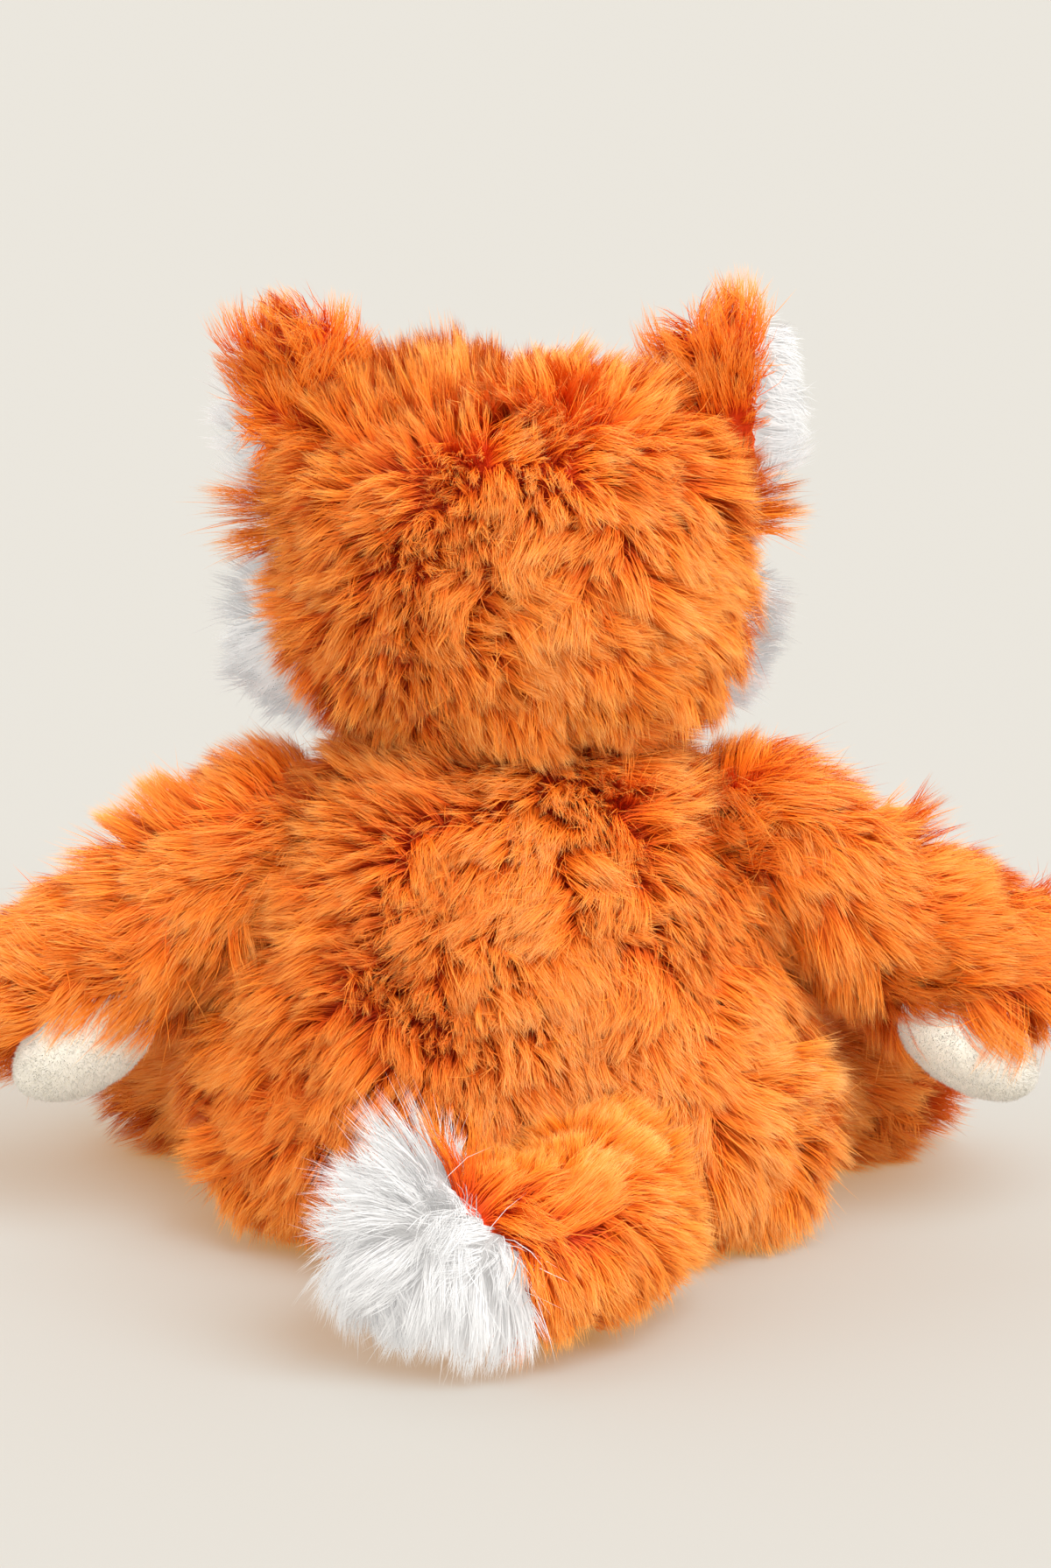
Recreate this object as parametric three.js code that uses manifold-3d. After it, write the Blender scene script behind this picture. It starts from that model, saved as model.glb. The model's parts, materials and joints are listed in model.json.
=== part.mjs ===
// A seated plush fox, made of fur-fabric panels over separate fillings.
// Millimetres, +Z up, the floor at z = 0. The fox faces -Y and its left side is +X.
// Every limb has a round root that turns in a round socket, so it keeps clear of the torso as it moves.
import * as THREE from "three";
import { mergeVertices } from "three/addons/utils/BufferGeometryUtils.js";
import Module from "manifold-3d";

const wasm = await Module();
wasm.setup();

// Fabric and clearances
const pileDepth = 9; // the fabric's backing and the pile that lies over it
const seamGap = 0.3; // between two pieces that are sewn or pressed together
const jointGap = 0.8; // between a limb's round root and its socket
const seatGap = 0.5; // between the neck or an ear's seam and the head that it turns in
const floorCut = 0.5; // how deep a resting form is flattened
const overrun = 6; // how far a cutting solid runs past what it cuts

// Torso: a pear that sits flat
const torsoHalfWidth = 80;
const torsoHalfDepth = 61;
const torsoHeight = 127;
const torsoShares = [
  [0.024, 0.775, 0.77],
  [0.08, 0.91, 0.9],
  [0.17, 0.985, 0.985],
  [0.28, 1, 1],
  [0.4, 0.975, 0.975],
  [0.53, 0.925, 0.93],
  [0.66, 0.865, 0.87],
  [0.785, 0.785, 0.79],
  [0.88, 0.66, 0.67],
  [0.955, 0.46, 0.48],
]; // height, width and depth of each ring
const torsoFootShare = 0.64;
const torsoSquareness = 2.15;
const sideSeamShare = -0.08; // where the side seams run, front to back
const seatHalfWidth = 46;
const seatHalfDepth = 35;
const seatThickness = 8;
const bagHeight = 20;
const seatShares = [
  [0, 0],
  [0, 1],
  [1, 1],
  [1, 0],
]; // height and radius of the seat's outline
const bagShares = [
  [0, 0],
  [0, 0.84],
  [0.16, 0.95],
  [0.4, 0.98],
  [0.64, 0.92],
  [0.84, 0.72],
  [1, 0],
]; // height and radius of the pellet bag's outline

// Neck: a dome on the torso that the head's underside turns on
const neckRadius = 31;
const neckHeightShare = 0.87;
const neckPlugRadius = 20;
const nod = [-12, 12]; // degrees, forwards positive

// Head
const headHalfWidth = 60;
const headHalfDepth = 53;
const headHalfHeight = 51;
const headLift = 15.3; // from the neck's pivot to the head's underside
const headShares = [
  [-0.97, 0.56, 0.52],
  [-0.85, 0.8, 0.76],
  [-0.6, 0.93, 0.92],
  [-0.3, 0.99, 0.99],
  [0, 1, 1],
  [0.3, 0.985, 0.98],
  [0.58, 0.91, 0.9],
  [0.8, 0.77, 0.75],
  [0.94, 0.54, 0.5],
]; // height, width and depth of each ring
const headSquareness = 2.3;
const faceSeamShare = -0.04; // where the face panels meet the back panels
const facePartShare = -0.3; // where the upper face meets the lower one
const muzzleReach = 31; // past the front of the head
const muzzleHalfWidth = 25;
const muzzleHalfHeight = 20;
const muzzleDropShare = -0.36;
const muzzleSeamSet = 7; // how far the snout's seam is from the front of the head
const muzzleShares = [
  [0, 1],
  [0.5, 0.98],
  [0.7, 0.85],
  [0.86, 0.64],
  [0.96, 0.4],
]; // length and width of each ring of the snout
const cheekRadii = { x: 27, y: 26, z: 29 };
const cheekPlaceShares = { x: 0.83, y: -0.34, z: -0.51 };

// Moulded eyes and nose: a dome outside, a shank through the fabric and a washer inside
const eyeRadius = 6;
const eyeHeight = 5;
const noseRadius = 8;
const noseHeight = 7;
const trimSink = 1.5; // how deep a dome's back sits below the pile
const shankRadius = 1.6;
const washerRadius = 6.2;
const washerThickness = 1.6;
const shankTail = 1; // past the washer
const eyePlaceShares = { x: 0.4, z: 0.02 };
const trimShares = [
  [0.35, 0.9],
  [0.75, 0.55],
]; // height and radius of a dome's outline between its rim and its top

// Ears: two layers of fabric on a rounded base seam
const earThickness = 12;
const earFold = [-20, 35]; // degrees, backwards positive
const earSetbackShare = -0.04;
const earBaseShares = [
  [1.01, 0.16],
  [0.63, 0.88],
]; // the base seam's outer and inner ends, as shares of the head's half width and half height
const earRimShares = [
  [1.15, 0.52],
  [1.19, 1.0],
  [1.12, 1.14],
  [0.92, 1.17],
  [0.72, 1.13],
  [0.62, 1.02],
]; // the free edge from the outer end to the inner end

// Arms
const armRadius = 24;
const pawRadius = 26;
const armWaistShare = 0.03; // how far a limb draws in halfway along
const armLength = 93; // from the shoulder's pivot to the end of the paw
const armSlope = 29; // degrees below level
const shoulderShares = { x: 0.78, z: 0.75 };
const armLift = [-8, 28]; // degrees
const palmRadii = { x: 25, y: 19, z: 12 };
const palmSink = 7; // how far the pad's middle is inside the paw
const palmTurn = 32; // degrees from straight down towards the back

// Legs
const legRadius = 25;
const footRadius = 26;
const legWaistShare = 0.07;
const legLength = 67; // from the hip's pivot to the end of the foot
const hipShares = { left: { x: 0.68, y: -0.72 }, right: { x: -0.73, y: -0.62 } };
const legSplay = { left: 42, right: 47 }; // degrees outward from straight ahead
const legRaise = [0, 30]; // degrees
const soleRadii = { x: 8, y: 18, z: 18 };
const soleSink = 3; // how far the pad's middle is inside the foot

// Tail: a short straight root, then a bend towards the fox's left
const tailRadius = 23;
const tailTipRadius = 26;
const tailWaistShare = -0.04;
const tailStraight = 22;
const tailBendRadius = 33;
const tailLength = 104;
const tailRootShares = { x: -0.25, y: 0.94 };
const tailRootHeight = 30;
const tailWag = [-22, 25]; // degrees
const tipSeamShare = 0.55; // where the white tip starts along the tail

const plugShare = 0.55; // the width of a limb's open root

// How finely the forms are made
const torsoSides = 24;
const bodyCoreSides = 14;
const limbSides = 14;
const coreSides = 10;
const hollowSides = 16;
const padSides = 12;
const trimSides = 10;
const limbDetail = { sides: limbSides, ball: 3, shaft: 3, cap: 3 };
const limbCoreDetail = { sides: coreSides, ball: 2, shaft: 2, cap: 2 };
const tailDetail = { sides: limbSides, ball: 3, shaft: 6, cap: 3 };
const tailCoreDetail = { sides: coreSides, ball: 2, shaft: 5, cap: 2 };
const limbStep = 18; // degrees between two cuts of a limb's swept room
const earStep = 30;

const orangeFur = { color: 0xe0731f, roughness: 0.9, metalness: 0 };
const whiteFur = { color: 0xf3f1ec, roughness: 0.9, metalness: 0 };
const creamPile = { color: 0xe8dfcd, roughness: 0.95, metalness: 0 };
const fibreFill = { color: 0xf5f5f2, roughness: 1, metalness: 0 };
const bagCloth = { color: 0xcfc8b8, roughness: 0.9, metalness: 0 };
const blackGloss = { color: 0x14110f, roughness: 0.15, metalness: 0 };
const washerPlastic = { color: 0xe9e9e6, roughness: 0.5, metalness: 0 };

const { Vector3, Matrix4 } = THREE;
const { degToRad, lerp, smoothstep } = THREE.MathUtils;

// Solids

// A closed geometry as a solid in the whole model's frame, with its faces turned outward.
function solidFrom(geometry, matrix = new Matrix4()) {
  const bare = geometry.clone().applyMatrix4(matrix);
  bare.deleteAttribute("normal");
  bare.deleteAttribute("uv");
  const merged = mergeVertices(bare);
  const points = merged.attributes.position;
  const corner = [new Vector3(), new Vector3(), new Vector3()];
  const triangles = [];
  let volume = 0;
  for (let i = 0; i < merged.index.count; i += 3) {
    const triangle = [0, 1, 2].map((k) => merged.index.getX(i + k));
    if (new Set(triangle).size < 3) continue;
    corner.forEach((point, k) => point.fromBufferAttribute(points, triangle[k]));
    volume += corner[0].dot(corner[1].clone().cross(corner[2]));
    triangles.push(triangle);
  }
  if (volume < 0) triangles.forEach((triangle) => triangle.reverse());
  return new wasm.Manifold(
    new wasm.Mesh({
      numProp: 3,
      vertProperties: new Float32Array(points.array),
      triVerts: new Uint32Array(triangles.flat()),
    }),
  );
}

function geometryFrom(solid) {
  const { vertProperties, triVerts } = solid.getMesh();
  const geometry = new THREE.BufferGeometry();
  geometry.setAttribute("position", new THREE.BufferAttribute(vertProperties, 3));
  geometry.setIndex(new THREE.BufferAttribute(triVerts, 1));
  return geometry;
}

function joined(solids) {
  return solids.reduce((whole, next) => whole.add(next));
}

// A closed surface through rings of equal counts, with a tip at each end.
function loft(rings, firstTip, lastTip) {
  const count = rings[0].length;
  const points = [firstTip, ...rings.flat(), lastTip];
  const last = points.length - 1;
  const index = [];
  for (let i = 0; i < count; i++) {
    const j = (i + 1) % count;
    index.push(0, 1 + j, 1 + i);
    for (let k = 0; k + 1 < rings.length; k++) {
      const low = 1 + k * count;
      const high = low + count;
      index.push(low + i, low + j, high + j, low + i, high + j, high + i);
    }
    index.push(last, last - count + i, last - count + j);
  }
  const geometry = new THREE.BufferGeometry().setFromPoints(points);
  geometry.setIndex(index);
  return geometry;
}

// A ring round centre in the plane of u and v. A squareness of 2 is an ellipse.
function ring(centre, u, v, halfU, halfV, sides, squareness = 2) {
  const bulge = (value) => Math.sign(value) * Math.abs(value) ** (2 / squareness);
  return Array.from({ length: sides }, (_, i) => {
    const angle = (2 * Math.PI * i) / sides;
    return centre
      .clone()
      .addScaledVector(u, halfU * bulge(Math.cos(angle)))
      .addScaledVector(v, halfV * bulge(Math.sin(angle)));
  });
}

function shifted(x, y, z) {
  return new Matrix4().makeTranslation(x, y, z);
}

function block(low, high, matrix = new Matrix4()) {
  const size = new Vector3().subVectors(high, low);
  const middle = new Vector3().lerpVectors(low, high, 1 / 2);
  const box = new THREE.BoxGeometry(size.x, size.y, size.z);
  return solidFrom(box, matrix.clone().multiply(shifted(middle.x, middle.y, middle.z)));
}

function ball(centre, radius, sides) {
  const sphere = new THREE.SphereGeometry(radius, sides, sides / 2);
  return solidFrom(sphere, shifted(centre.x, centre.y, centre.z));
}

function ellipsoid(radii, matrix, grow = 0) {
  const scaled = new Matrix4().makeScale(radii.x + grow, radii.y + grow, radii.z + grow);
  const sphere = new THREE.SphereGeometry(1, padSides, padSides / 2);
  return solidFrom(sphere, matrix.clone().multiply(scaled));
}

// A rod along the local X axis of matrix.
function rod(matrix, from, to, radius, sides = coreSides) {
  const lying = shifted((from + to) / 2, 0, 0).multiply(new Matrix4().makeRotationZ(-Math.PI / 2));
  const cylinder = new THREE.CylinderGeometry(radius, radius, to - from, sides);
  return solidFrom(cylinder, matrix.clone().multiply(lying));
}

// The room that a form needs as it turns in its own frame from one end of its range to the other.
function swept(makeForm, axis, range, step) {
  const steps = Math.ceil((range[1] - range[0]) / step);
  const turns = Array.from({ length: steps + 1 }, (_, i) => degToRad(lerp(...range, i / steps)));
  return joined(turns.map((turn) => makeForm(new Matrix4().makeRotationAxis(axis, turn))));
}

// The frame of a body: its pivot, its outward direction as local X and its up direction as local Z.
function frameOf(pivot, outward, up) {
  const y = new Vector3().crossVectors(up, outward).normalize();
  const z = new Vector3().crossVectors(outward, y);
  return new Matrix4().makeBasis(outward, y, z).setPosition(pivot);
}

// The scene graph: one group for each moving body, at its pivot

const xAxis = new Vector3(1, 0, 0);
const yAxis = new Vector3(0, 1, 0);
const zAxis = new Vector3(0, 0, 1);

const group = new THREE.Group();

function bodyGroup(frame, parent = group) {
  const body = new THREE.Group();
  const place = parent.matrixWorld.clone().invert().multiply(frame);
  place.decompose(body.position, body.quaternion, body.scale);
  parent.add(body);
  body.updateMatrixWorld(true);
  return body;
}

function keep(name, finish, solid, body = group) {
  const geometry = geometryFrom(solid).applyMatrix4(body.matrixWorld.clone().invert());
  const mesh = new THREE.Mesh(geometry, new THREE.MeshStandardMaterial(finish));
  mesh.name = name;
  body.add(mesh);
}

// Limbs: a round root about the pivot, a shaft and a rounded end, along a path in the limb's own frame

function limbRings(limb, detail, grow) {
  const rootRadius = limb.rootRadius + grow;
  const endRadius = limb.endRadius + grow;
  const quarter = Math.PI / 2;
  const stations = [];
  for (let k = 1; k <= detail.ball; k++) {
    const angle = (k / detail.ball) * quarter;
    stations.push([-rootRadius * Math.cos(angle), rootRadius * Math.sin(angle)]);
  }
  const shaft = limb.length - limb.endRadius;
  for (let k = 1; k <= detail.shaft; k++) {
    const share = k / detail.shaft;
    const drawnIn = 1 - limb.waistShare * Math.sin(Math.PI * share);
    stations.push([shaft * share, lerp(rootRadius, endRadius, share) * drawnIn]);
  }
  for (let k = 1; k <= detail.cap; k++) {
    const angle = (k / (detail.cap + 1)) * quarter;
    stations.push([shaft + endRadius * Math.sin(angle), endRadius * Math.cos(angle)]);
  }
  return stations.map(([along, radius]) => {
    const { centre, side } = limb.path(along);
    return ring(centre, side, zAxis, radius, radius, detail.sides);
  });
}

function limbGeometry(limb, detail, grow) {
  const tips = [-limb.rootRadius - grow, limb.length + grow].map((along) => limb.path(along).centre);
  return loft(limbRings(limb, detail, grow), ...tips);
}

function limbForm(limb) {
  return solidFrom(limbGeometry(limb, limb.detail, 0), limb.frame).intersect(aboveFloor);
}

// The limb's filling reaches out through its root, where its fur is open at the seam.
function limbFilling(limb, grow) {
  const core = solidFrom(limbGeometry(limb, limb.coreDetail, grow - pileDepth), limb.frame);
  const plug = rod(limb.frame, -limb.rootRadius - overrun, 0, limb.rootRadius * plugShare + grow);
  return core.add(plug);
}

// A round hollow whose flats clear a ball of this radius.
function hollow(pivot, radius) {
  return ball(pivot, (radius + jointGap) / Math.cos(Math.PI / hollowSides) ** 2, hollowSides);
}

// A limb's socket: the round hollow that its root turns in, and the room that its shaft sweeps.
function socket(limb) {
  const pivot = new Vector3().setFromMatrixPosition(limb.frame);
  const rings = limbRings(limb, limb.detail, jointGap).slice(limb.detail.ball - 1);
  const tips = [0, limb.length + jointGap].map((along) => limb.path(along).centre);
  const shaft = loft(rings, ...tips);
  const turned = (turn) => solidFrom(shaft, limb.frame.clone().multiply(turn));
  return hollow(pivot, limb.rootRadius).add(swept(turned, limb.axis, limb.range, limbStep));
}

function straightPath(along) {
  return { centre: new Vector3(along, 0, 0), side: yAxis };
}

// Straight back from the root, then round to the fox's left, sinking to lie on the floor.
function tailPath(along) {
  const drop = tailTipRadius - floorCut - tailRootHeight;
  const z = drop * smoothstep(along, 0, tailStraight + tailBendRadius);
  const turn = Math.max(0, along - tailStraight) / tailBendRadius;
  const x = Math.min(along, tailStraight) + tailBendRadius * Math.sin(turn);
  const y = -tailBendRadius * (1 - Math.cos(turn));
  return { centre: new Vector3(x, y, z), side: new Vector3(Math.sin(turn), Math.cos(turn), 0) };
}

const liftAxis = new Vector3(0, -1, 0);

function makeArm(side) {
  const slope = degToRad(armSlope);
  const pivot = new Vector3(side * torsoHalfWidth * shoulderShares.x, 0, torsoHeight * shoulderShares.z);
  return {
    rootRadius: armRadius,
    endRadius: pawRadius,
    waistShare: armWaistShare,
    length: armLength,
    detail: limbDetail,
    coreDetail: limbCoreDetail,
    path: straightPath,
    axis: liftAxis,
    range: armLift,
    frame: frameOf(pivot, new Vector3(side * Math.cos(slope), 0, -Math.sin(slope)), zAxis),
  };
}

function makeLeg(side, hip, splayDegrees) {
  const splay = degToRad(splayDegrees);
  const pivot = new Vector3(torsoHalfWidth * hip.x, torsoHalfDepth * hip.y, footRadius - floorCut);
  return {
    rootRadius: legRadius,
    endRadius: footRadius,
    waistShare: legWaistShare,
    length: legLength,
    detail: limbDetail,
    coreDetail: limbCoreDetail,
    path: straightPath,
    axis: liftAxis,
    range: legRaise,
    frame: frameOf(pivot, new Vector3(side * Math.sin(splay), -Math.cos(splay), 0), zAxis),
  };
}

const tailRoot = { x: torsoHalfWidth * tailRootShares.x, y: torsoHalfDepth * tailRootShares.y };
const tail = {
  rootRadius: tailRadius,
  endRadius: tailTipRadius,
  waistShare: tailWaistShare,
  length: tailLength,
  detail: tailDetail,
  coreDetail: tailCoreDetail,
  path: tailPath,
  axis: zAxis,
  range: tailWag,
  frame: frameOf(new Vector3(tailRoot.x, tailRoot.y, tailRootHeight), yAxis, zAxis),
};
const arms = { left: makeArm(1), right: makeArm(-1) };
const legs = {
  left: makeLeg(1, hipShares.left, legSplay.left),
  right: makeLeg(-1, hipShares.right, legSplay.right),
};

const neckPivot = new Vector3(0, 0, torsoHeight * neckHeightShare);
const headMiddle = neckPivot.z + headLift + headHalfHeight;
const far = 2 * (torsoHalfWidth + armLength + tailLength);
const ceiling = headMiddle + 2 * headHalfHeight;
const aboveFloor = block(new Vector3(-far, -far, 0), new Vector3(far, far, ceiling));
const sockets = joined([tail, arms.left, arms.right, legs.left, legs.right].map(socket));

// Torso

function torsoGeometry(grow, sides, foot) {
  const level = (share) => new Vector3(0, 0, lerp(foot, torsoHeight + grow, share));
  const rings = [[0, torsoFootShare, torsoFootShare], ...torsoShares].map(([height, width, depth]) => {
    const halfWidth = (torsoHalfWidth + grow) * width;
    const halfDepth = (torsoHalfDepth + grow) * depth;
    return ring(level(height), xAxis, yAxis, halfWidth, halfDepth, sides, torsoSquareness);
  });
  return loft(rings, level(0), level(1));
}

const upright = new Matrix4().makeRotationY(-Math.PI / 2);

function neckPlug(grow) {
  const from = neckPivot.z - neckRadius / 2;
  return rod(upright, from, headMiddle, neckPlugRadius + grow, bodyCoreSides);
}

function torsoFilling(grow) {
  const foot = seatThickness + seamGap - grow;
  return solidFrom(torsoGeometry(grow - pileDepth, bodyCoreSides, foot)).add(neckPlug(grow));
}

// A flat-bottomed solid of revolution, stretched to the seat's oval and stood on a level.
function oval(outline, grow, level, height) {
  const stretched = new Matrix4().makeScale(seatHalfWidth + grow, seatHalfDepth + grow, height + grow);
  const matrix = shifted(0, 0, level).multiply(stretched).multiply(new Matrix4().makeRotationX(Math.PI / 2));
  const points = outline.map(([along, out]) => new THREE.Vector2(out, along));
  return solidFrom(new THREE.LatheGeometry(points, torsoSides), matrix);
}

// The neck's ball, with its poles on the axis that the head nods about.
function neckBall(radius, widened, turn) {
  const sphere = new THREE.SphereGeometry(radius, hollowSides, hollowSides / 2);
  sphere.scale(widened, 1, widened).rotateY(turn).rotateZ(Math.PI / 2);
  return solidFrom(sphere, shifted(neckPivot.x, neckPivot.y, neckPivot.z));
}

const torsoForm = solidFrom(torsoGeometry(0, torsoSides, -floorCut))
  .add(neckBall(neckRadius, 1, 0))
  .intersect(aboveFloor);
const seat = (grow) => oval(seatShares, grow, 0, seatThickness);
const pelletBag = (grow) => oval(bagShares, grow, seatThickness + seamGap, bagHeight);

const torsoFur = torsoForm.subtract(torsoFilling(seamGap)).subtract(seat(seamGap)).subtract(sockets);
const sideSeam = torsoHalfDepth * sideSeamShare;

function panel(form, [lowX, highX], [lowY, highY], [lowZ, highZ] = [-far, far]) {
  return form.intersect(block(new Vector3(lowX, lowY, lowZ), new Vector3(highX, highY, highZ)));
}

const leftSide = [seamGap / 2, far];
const rightSide = [-far, -seamGap / 2];
const acrossAll = [-far, far];
keep("torso_back_left", orangeFur, panel(torsoFur, leftSide, [sideSeam, far]));
keep("torso_back_right", orangeFur, panel(torsoFur, rightSide, [sideSeam, far]));
keep("torso_belly", whiteFur, panel(torsoFur, acrossAll, [-far, sideSeam - seamGap]));
keep("torso_seat", orangeFur, seat(0));
keep("pellet_bag", bagCloth, pelletBag(0));
const torsoCore = torsoForm.intersect(torsoFilling(0)).subtract(pelletBag(seamGap)).subtract(sockets);
keep("torso_stuffing", fibreFill, torsoCore);

// Head

const headFrame = new Matrix4().makeTranslation(neckPivot);
const headBody = bodyGroup(headFrame);

function headGeometry(grow, sides) {
  const level = (share) => new Vector3(0, 0, headMiddle + (headHalfHeight + grow) * share);
  const rings = headShares.map(([height, width, depth]) => {
    const halfWidth = (headHalfWidth + grow) * width;
    const halfDepth = (headHalfDepth + grow) * depth;
    return ring(level(height), xAxis, yAxis, halfWidth, halfDepth, sides, headSquareness);
  });
  return loft(rings, level(-1), level(1));
}

const muzzleMiddle = headMiddle + headHalfHeight * muzzleDropShare;
const snoutRoot = -headHalfDepth / 2;
const snoutTip = -headHalfDepth - muzzleReach;

function muzzleGeometry(grow, sides) {
  const place = (share) => new Vector3(0, lerp(snoutRoot, snoutTip - grow, share), muzzleMiddle);
  const rings = muzzleShares.map(([along, width]) => {
    const halfWidth = (muzzleHalfWidth + grow) * width;
    const halfHeight = (muzzleHalfHeight + grow) * width;
    return ring(place(along), xAxis, zAxis, halfWidth, halfHeight, sides);
  });
  return loft(rings, place(0), place(1));
}

function headSolid(grow, headSides, snoutSides) {
  return solidFrom(headGeometry(grow, headSides)).add(solidFrom(muzzleGeometry(grow, snoutSides)));
}

function headFilling(grow) {
  return headSolid(grow - pileDepth, bodyCoreSides, coreSides).add(neckPlug(grow));
}

// Ears: each lies in its frame's XY plane, with its base seam along X and its thickness along Z

function earPoint(side, [x, z]) {
  const setback = headHalfDepth * earSetbackShare;
  return new Vector3(side * headHalfWidth * x, setback, headMiddle + headHalfHeight * z);
}

function makeEar(side) {
  const [outer, inner] = earBaseShares.map((shares) => earPoint(side, shares));
  const along = new Vector3().subVectors(inner, outer).multiplyScalar(side);
  const pivot = new Vector3().lerpVectors(outer, inner, 1 / 2);
  const frame = frameOf(pivot, along.clone().normalize(), yAxis);
  const inverse = frame.clone().invert();
  const rim = [outer, ...earRimShares.map((shares) => earPoint(side, shares)), inner];
  return { frame, baseLength: along.length(), rim: rim.map((point) => point.applyMatrix4(inverse)) };
}

function earSeam({ frame, baseLength }, grow) {
  const half = baseLength / 2 + grow;
  return rod(frame, -half, half, earThickness / 2 + grow, limbSides);
}

function earPetal({ frame, rim }, grow, turn = new Matrix4()) {
  const shape = new THREE.Shape(rim.map(({ x, y }) => new THREE.Vector2(x, y)));
  const middle = rim.reduce((sum, point) => sum.addScaledVector(point, 1 / rim.length), new Vector3());
  const widest = Math.max(...rim.map((point) => point.distanceTo(middle)));
  const thickness = earThickness + 2 * grow;
  const spread = 1 + grow / widest;
  const petal = new THREE.ExtrudeGeometry(shape, { depth: thickness, bevelEnabled: false });
  petal.translate(-middle.x, -middle.y, -thickness / 2);
  petal.scale(spread, spread, 1);
  petal.translate(middle.x, middle.y, 0);
  return solidFrom(petal, frame.clone().multiply(turn));
}

const ears = { left: makeEar(1), right: makeEar(-1) };

// The seam's room is wide enough for its flats to clear the seam's edges at any turn.
function earRoom(ear) {
  const petals = swept((turn) => earPetal(ear, jointGap, turn), xAxis, earFold, earStep);
  const seamRadius = earThickness / 2;
  return earSeam(ear, (seamRadius + seatGap) / Math.cos(Math.PI / limbSides) - seamRadius).add(petals);
}

// The neck's room is turned by half a facet, so its flats face the ball's edges and clear them at any nod.
const neckFacet = Math.PI / hollowSides;
const neckRoomRadius = neckRadius + seatGap / Math.cos(neckFacet);
const neckRoom = neckBall(neckRoomRadius, 1 / Math.cos(neckFacet), neckFacet);
const headRoom = joined([neckRoom, ...Object.values(ears).map(earRoom)]);

// Moulded trims: local X points out of the fabric

const shankEnd = -trimSink - pileDepth - washerThickness - shankTail;

function trim(frame, radius, height, grow) {
  const point = ([along, out]) => new THREE.Vector2(radius * out + grow, height * along + grow);
  const dome = [
    new THREE.Vector2(0, shankEnd - grow),
    new THREE.Vector2(shankRadius + grow, shankEnd - grow),
    new THREE.Vector2(shankRadius + grow, -trimSink - grow),
    new THREE.Vector2(radius + grow, -trimSink - grow),
    ...trimShares.map(point),
    new THREE.Vector2(0, height + grow),
  ];
  const lying = frame.clone().multiply(new Matrix4().makeRotationZ(-Math.PI / 2));
  return solidFrom(new THREE.LatheGeometry(dome, trimSides), lying);
}

function washer(frame) {
  const from = -trimSink - pileDepth - washerThickness;
  const disc = rod(frame, from, from + washerThickness, washerRadius, trimSides);
  return disc.subtract(rod(frame, from - overrun, overrun, shankRadius + seamGap));
}

// The room for a washer, from behind its shank's end up to a level below the pile.
function washerPockets(outerEnd) {
  const pocket = ({ frame }) => rod(frame, shankEnd - seamGap, outerEnd, washerRadius + seamGap, trimSides);
  return joined(Object.values(trims).map(pocket));
}

function eyeFrame(side) {
  const { x, z } = eyePlaceShares;
  const forward = (1 - Math.abs(x) ** headSquareness) ** (1 / headSquareness);
  const level = headMiddle + headHalfHeight * z;
  const place = new Vector3(side * headHalfWidth * x, -headHalfDepth * forward, level);
  const outward = new Vector3(place.x / headHalfWidth ** 2, place.y / headHalfDepth ** 2, 0).normalize();
  return frameOf(place, outward, zAxis);
}

const trims = {
  eye_left: { frame: eyeFrame(1), radius: eyeRadius, height: eyeHeight, washer: "eye_washer_left" },
  eye_right: { frame: eyeFrame(-1), radius: eyeRadius, height: eyeHeight, washer: "eye_washer_right" },
  nose: {
    frame: frameOf(new Vector3(0, snoutTip, muzzleMiddle), new Vector3(0, -1, 0), zAxis),
    radius: noseRadius,
    height: noseHeight,
    washer: "nose_washer",
  },
};
const trimHole = ({ frame, radius, height }) => trim(frame, radius, height, seamGap);
const trimHoles = joined(Object.values(trims).map(trimHole));

const headForm = headSolid(0, torsoSides, limbSides).subtract(headRoom);
const headFur = headForm
  .subtract(headFilling(seamGap))
  .subtract(trimHoles)
  .subtract(washerPockets(seamGap - trimSink - pileDepth));
const faceSeam = headHalfDepth * faceSeamShare;
const facePart = headMiddle + headHalfHeight * facePartShare;
const snoutSeam = snoutRoot - (headHalfDepth - muzzleSeamSet) / 2;

function snoutBlock(grow) {
  const halfWidth = muzzleHalfWidth + grow;
  const halfHeight = muzzleHalfHeight + grow;
  return block(
    new Vector3(-halfWidth, snoutTip - overrun, muzzleMiddle - halfHeight),
    new Vector3(halfWidth, snoutSeam + grow, muzzleMiddle + halfHeight),
  );
}

const faceFur = headFur.subtract(snoutBlock(seamGap));
const inFront = [-far, faceSeam - seamGap];
keep("head_back_left", orangeFur, panel(headFur, leftSide, [faceSeam, far]), headBody);
keep("head_back_right", orangeFur, panel(headFur, rightSide, [faceSeam, far]), headBody);
keep("face_upper", orangeFur, panel(faceFur, acrossAll, inFront, [facePart + seamGap, far]), headBody);
keep("face_lower", whiteFur, panel(faceFur, acrossAll, inFront, [0, facePart]), headBody);
keep("muzzle", whiteFur, headFur.intersect(snoutBlock(0)), headBody);
const headCore = headForm.intersect(headFilling(0)).subtract(washerPockets(0));
keep("head_stuffing", fibreFill, headCore, headBody);
for (const [name, { frame, radius, height, washer: washerName }] of Object.entries(trims)) {
  keep(name, blackGloss, trim(frame, radius, height, 0), headBody);
  keep(washerName, washerPlastic, washer(frame), headBody);
}

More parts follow.
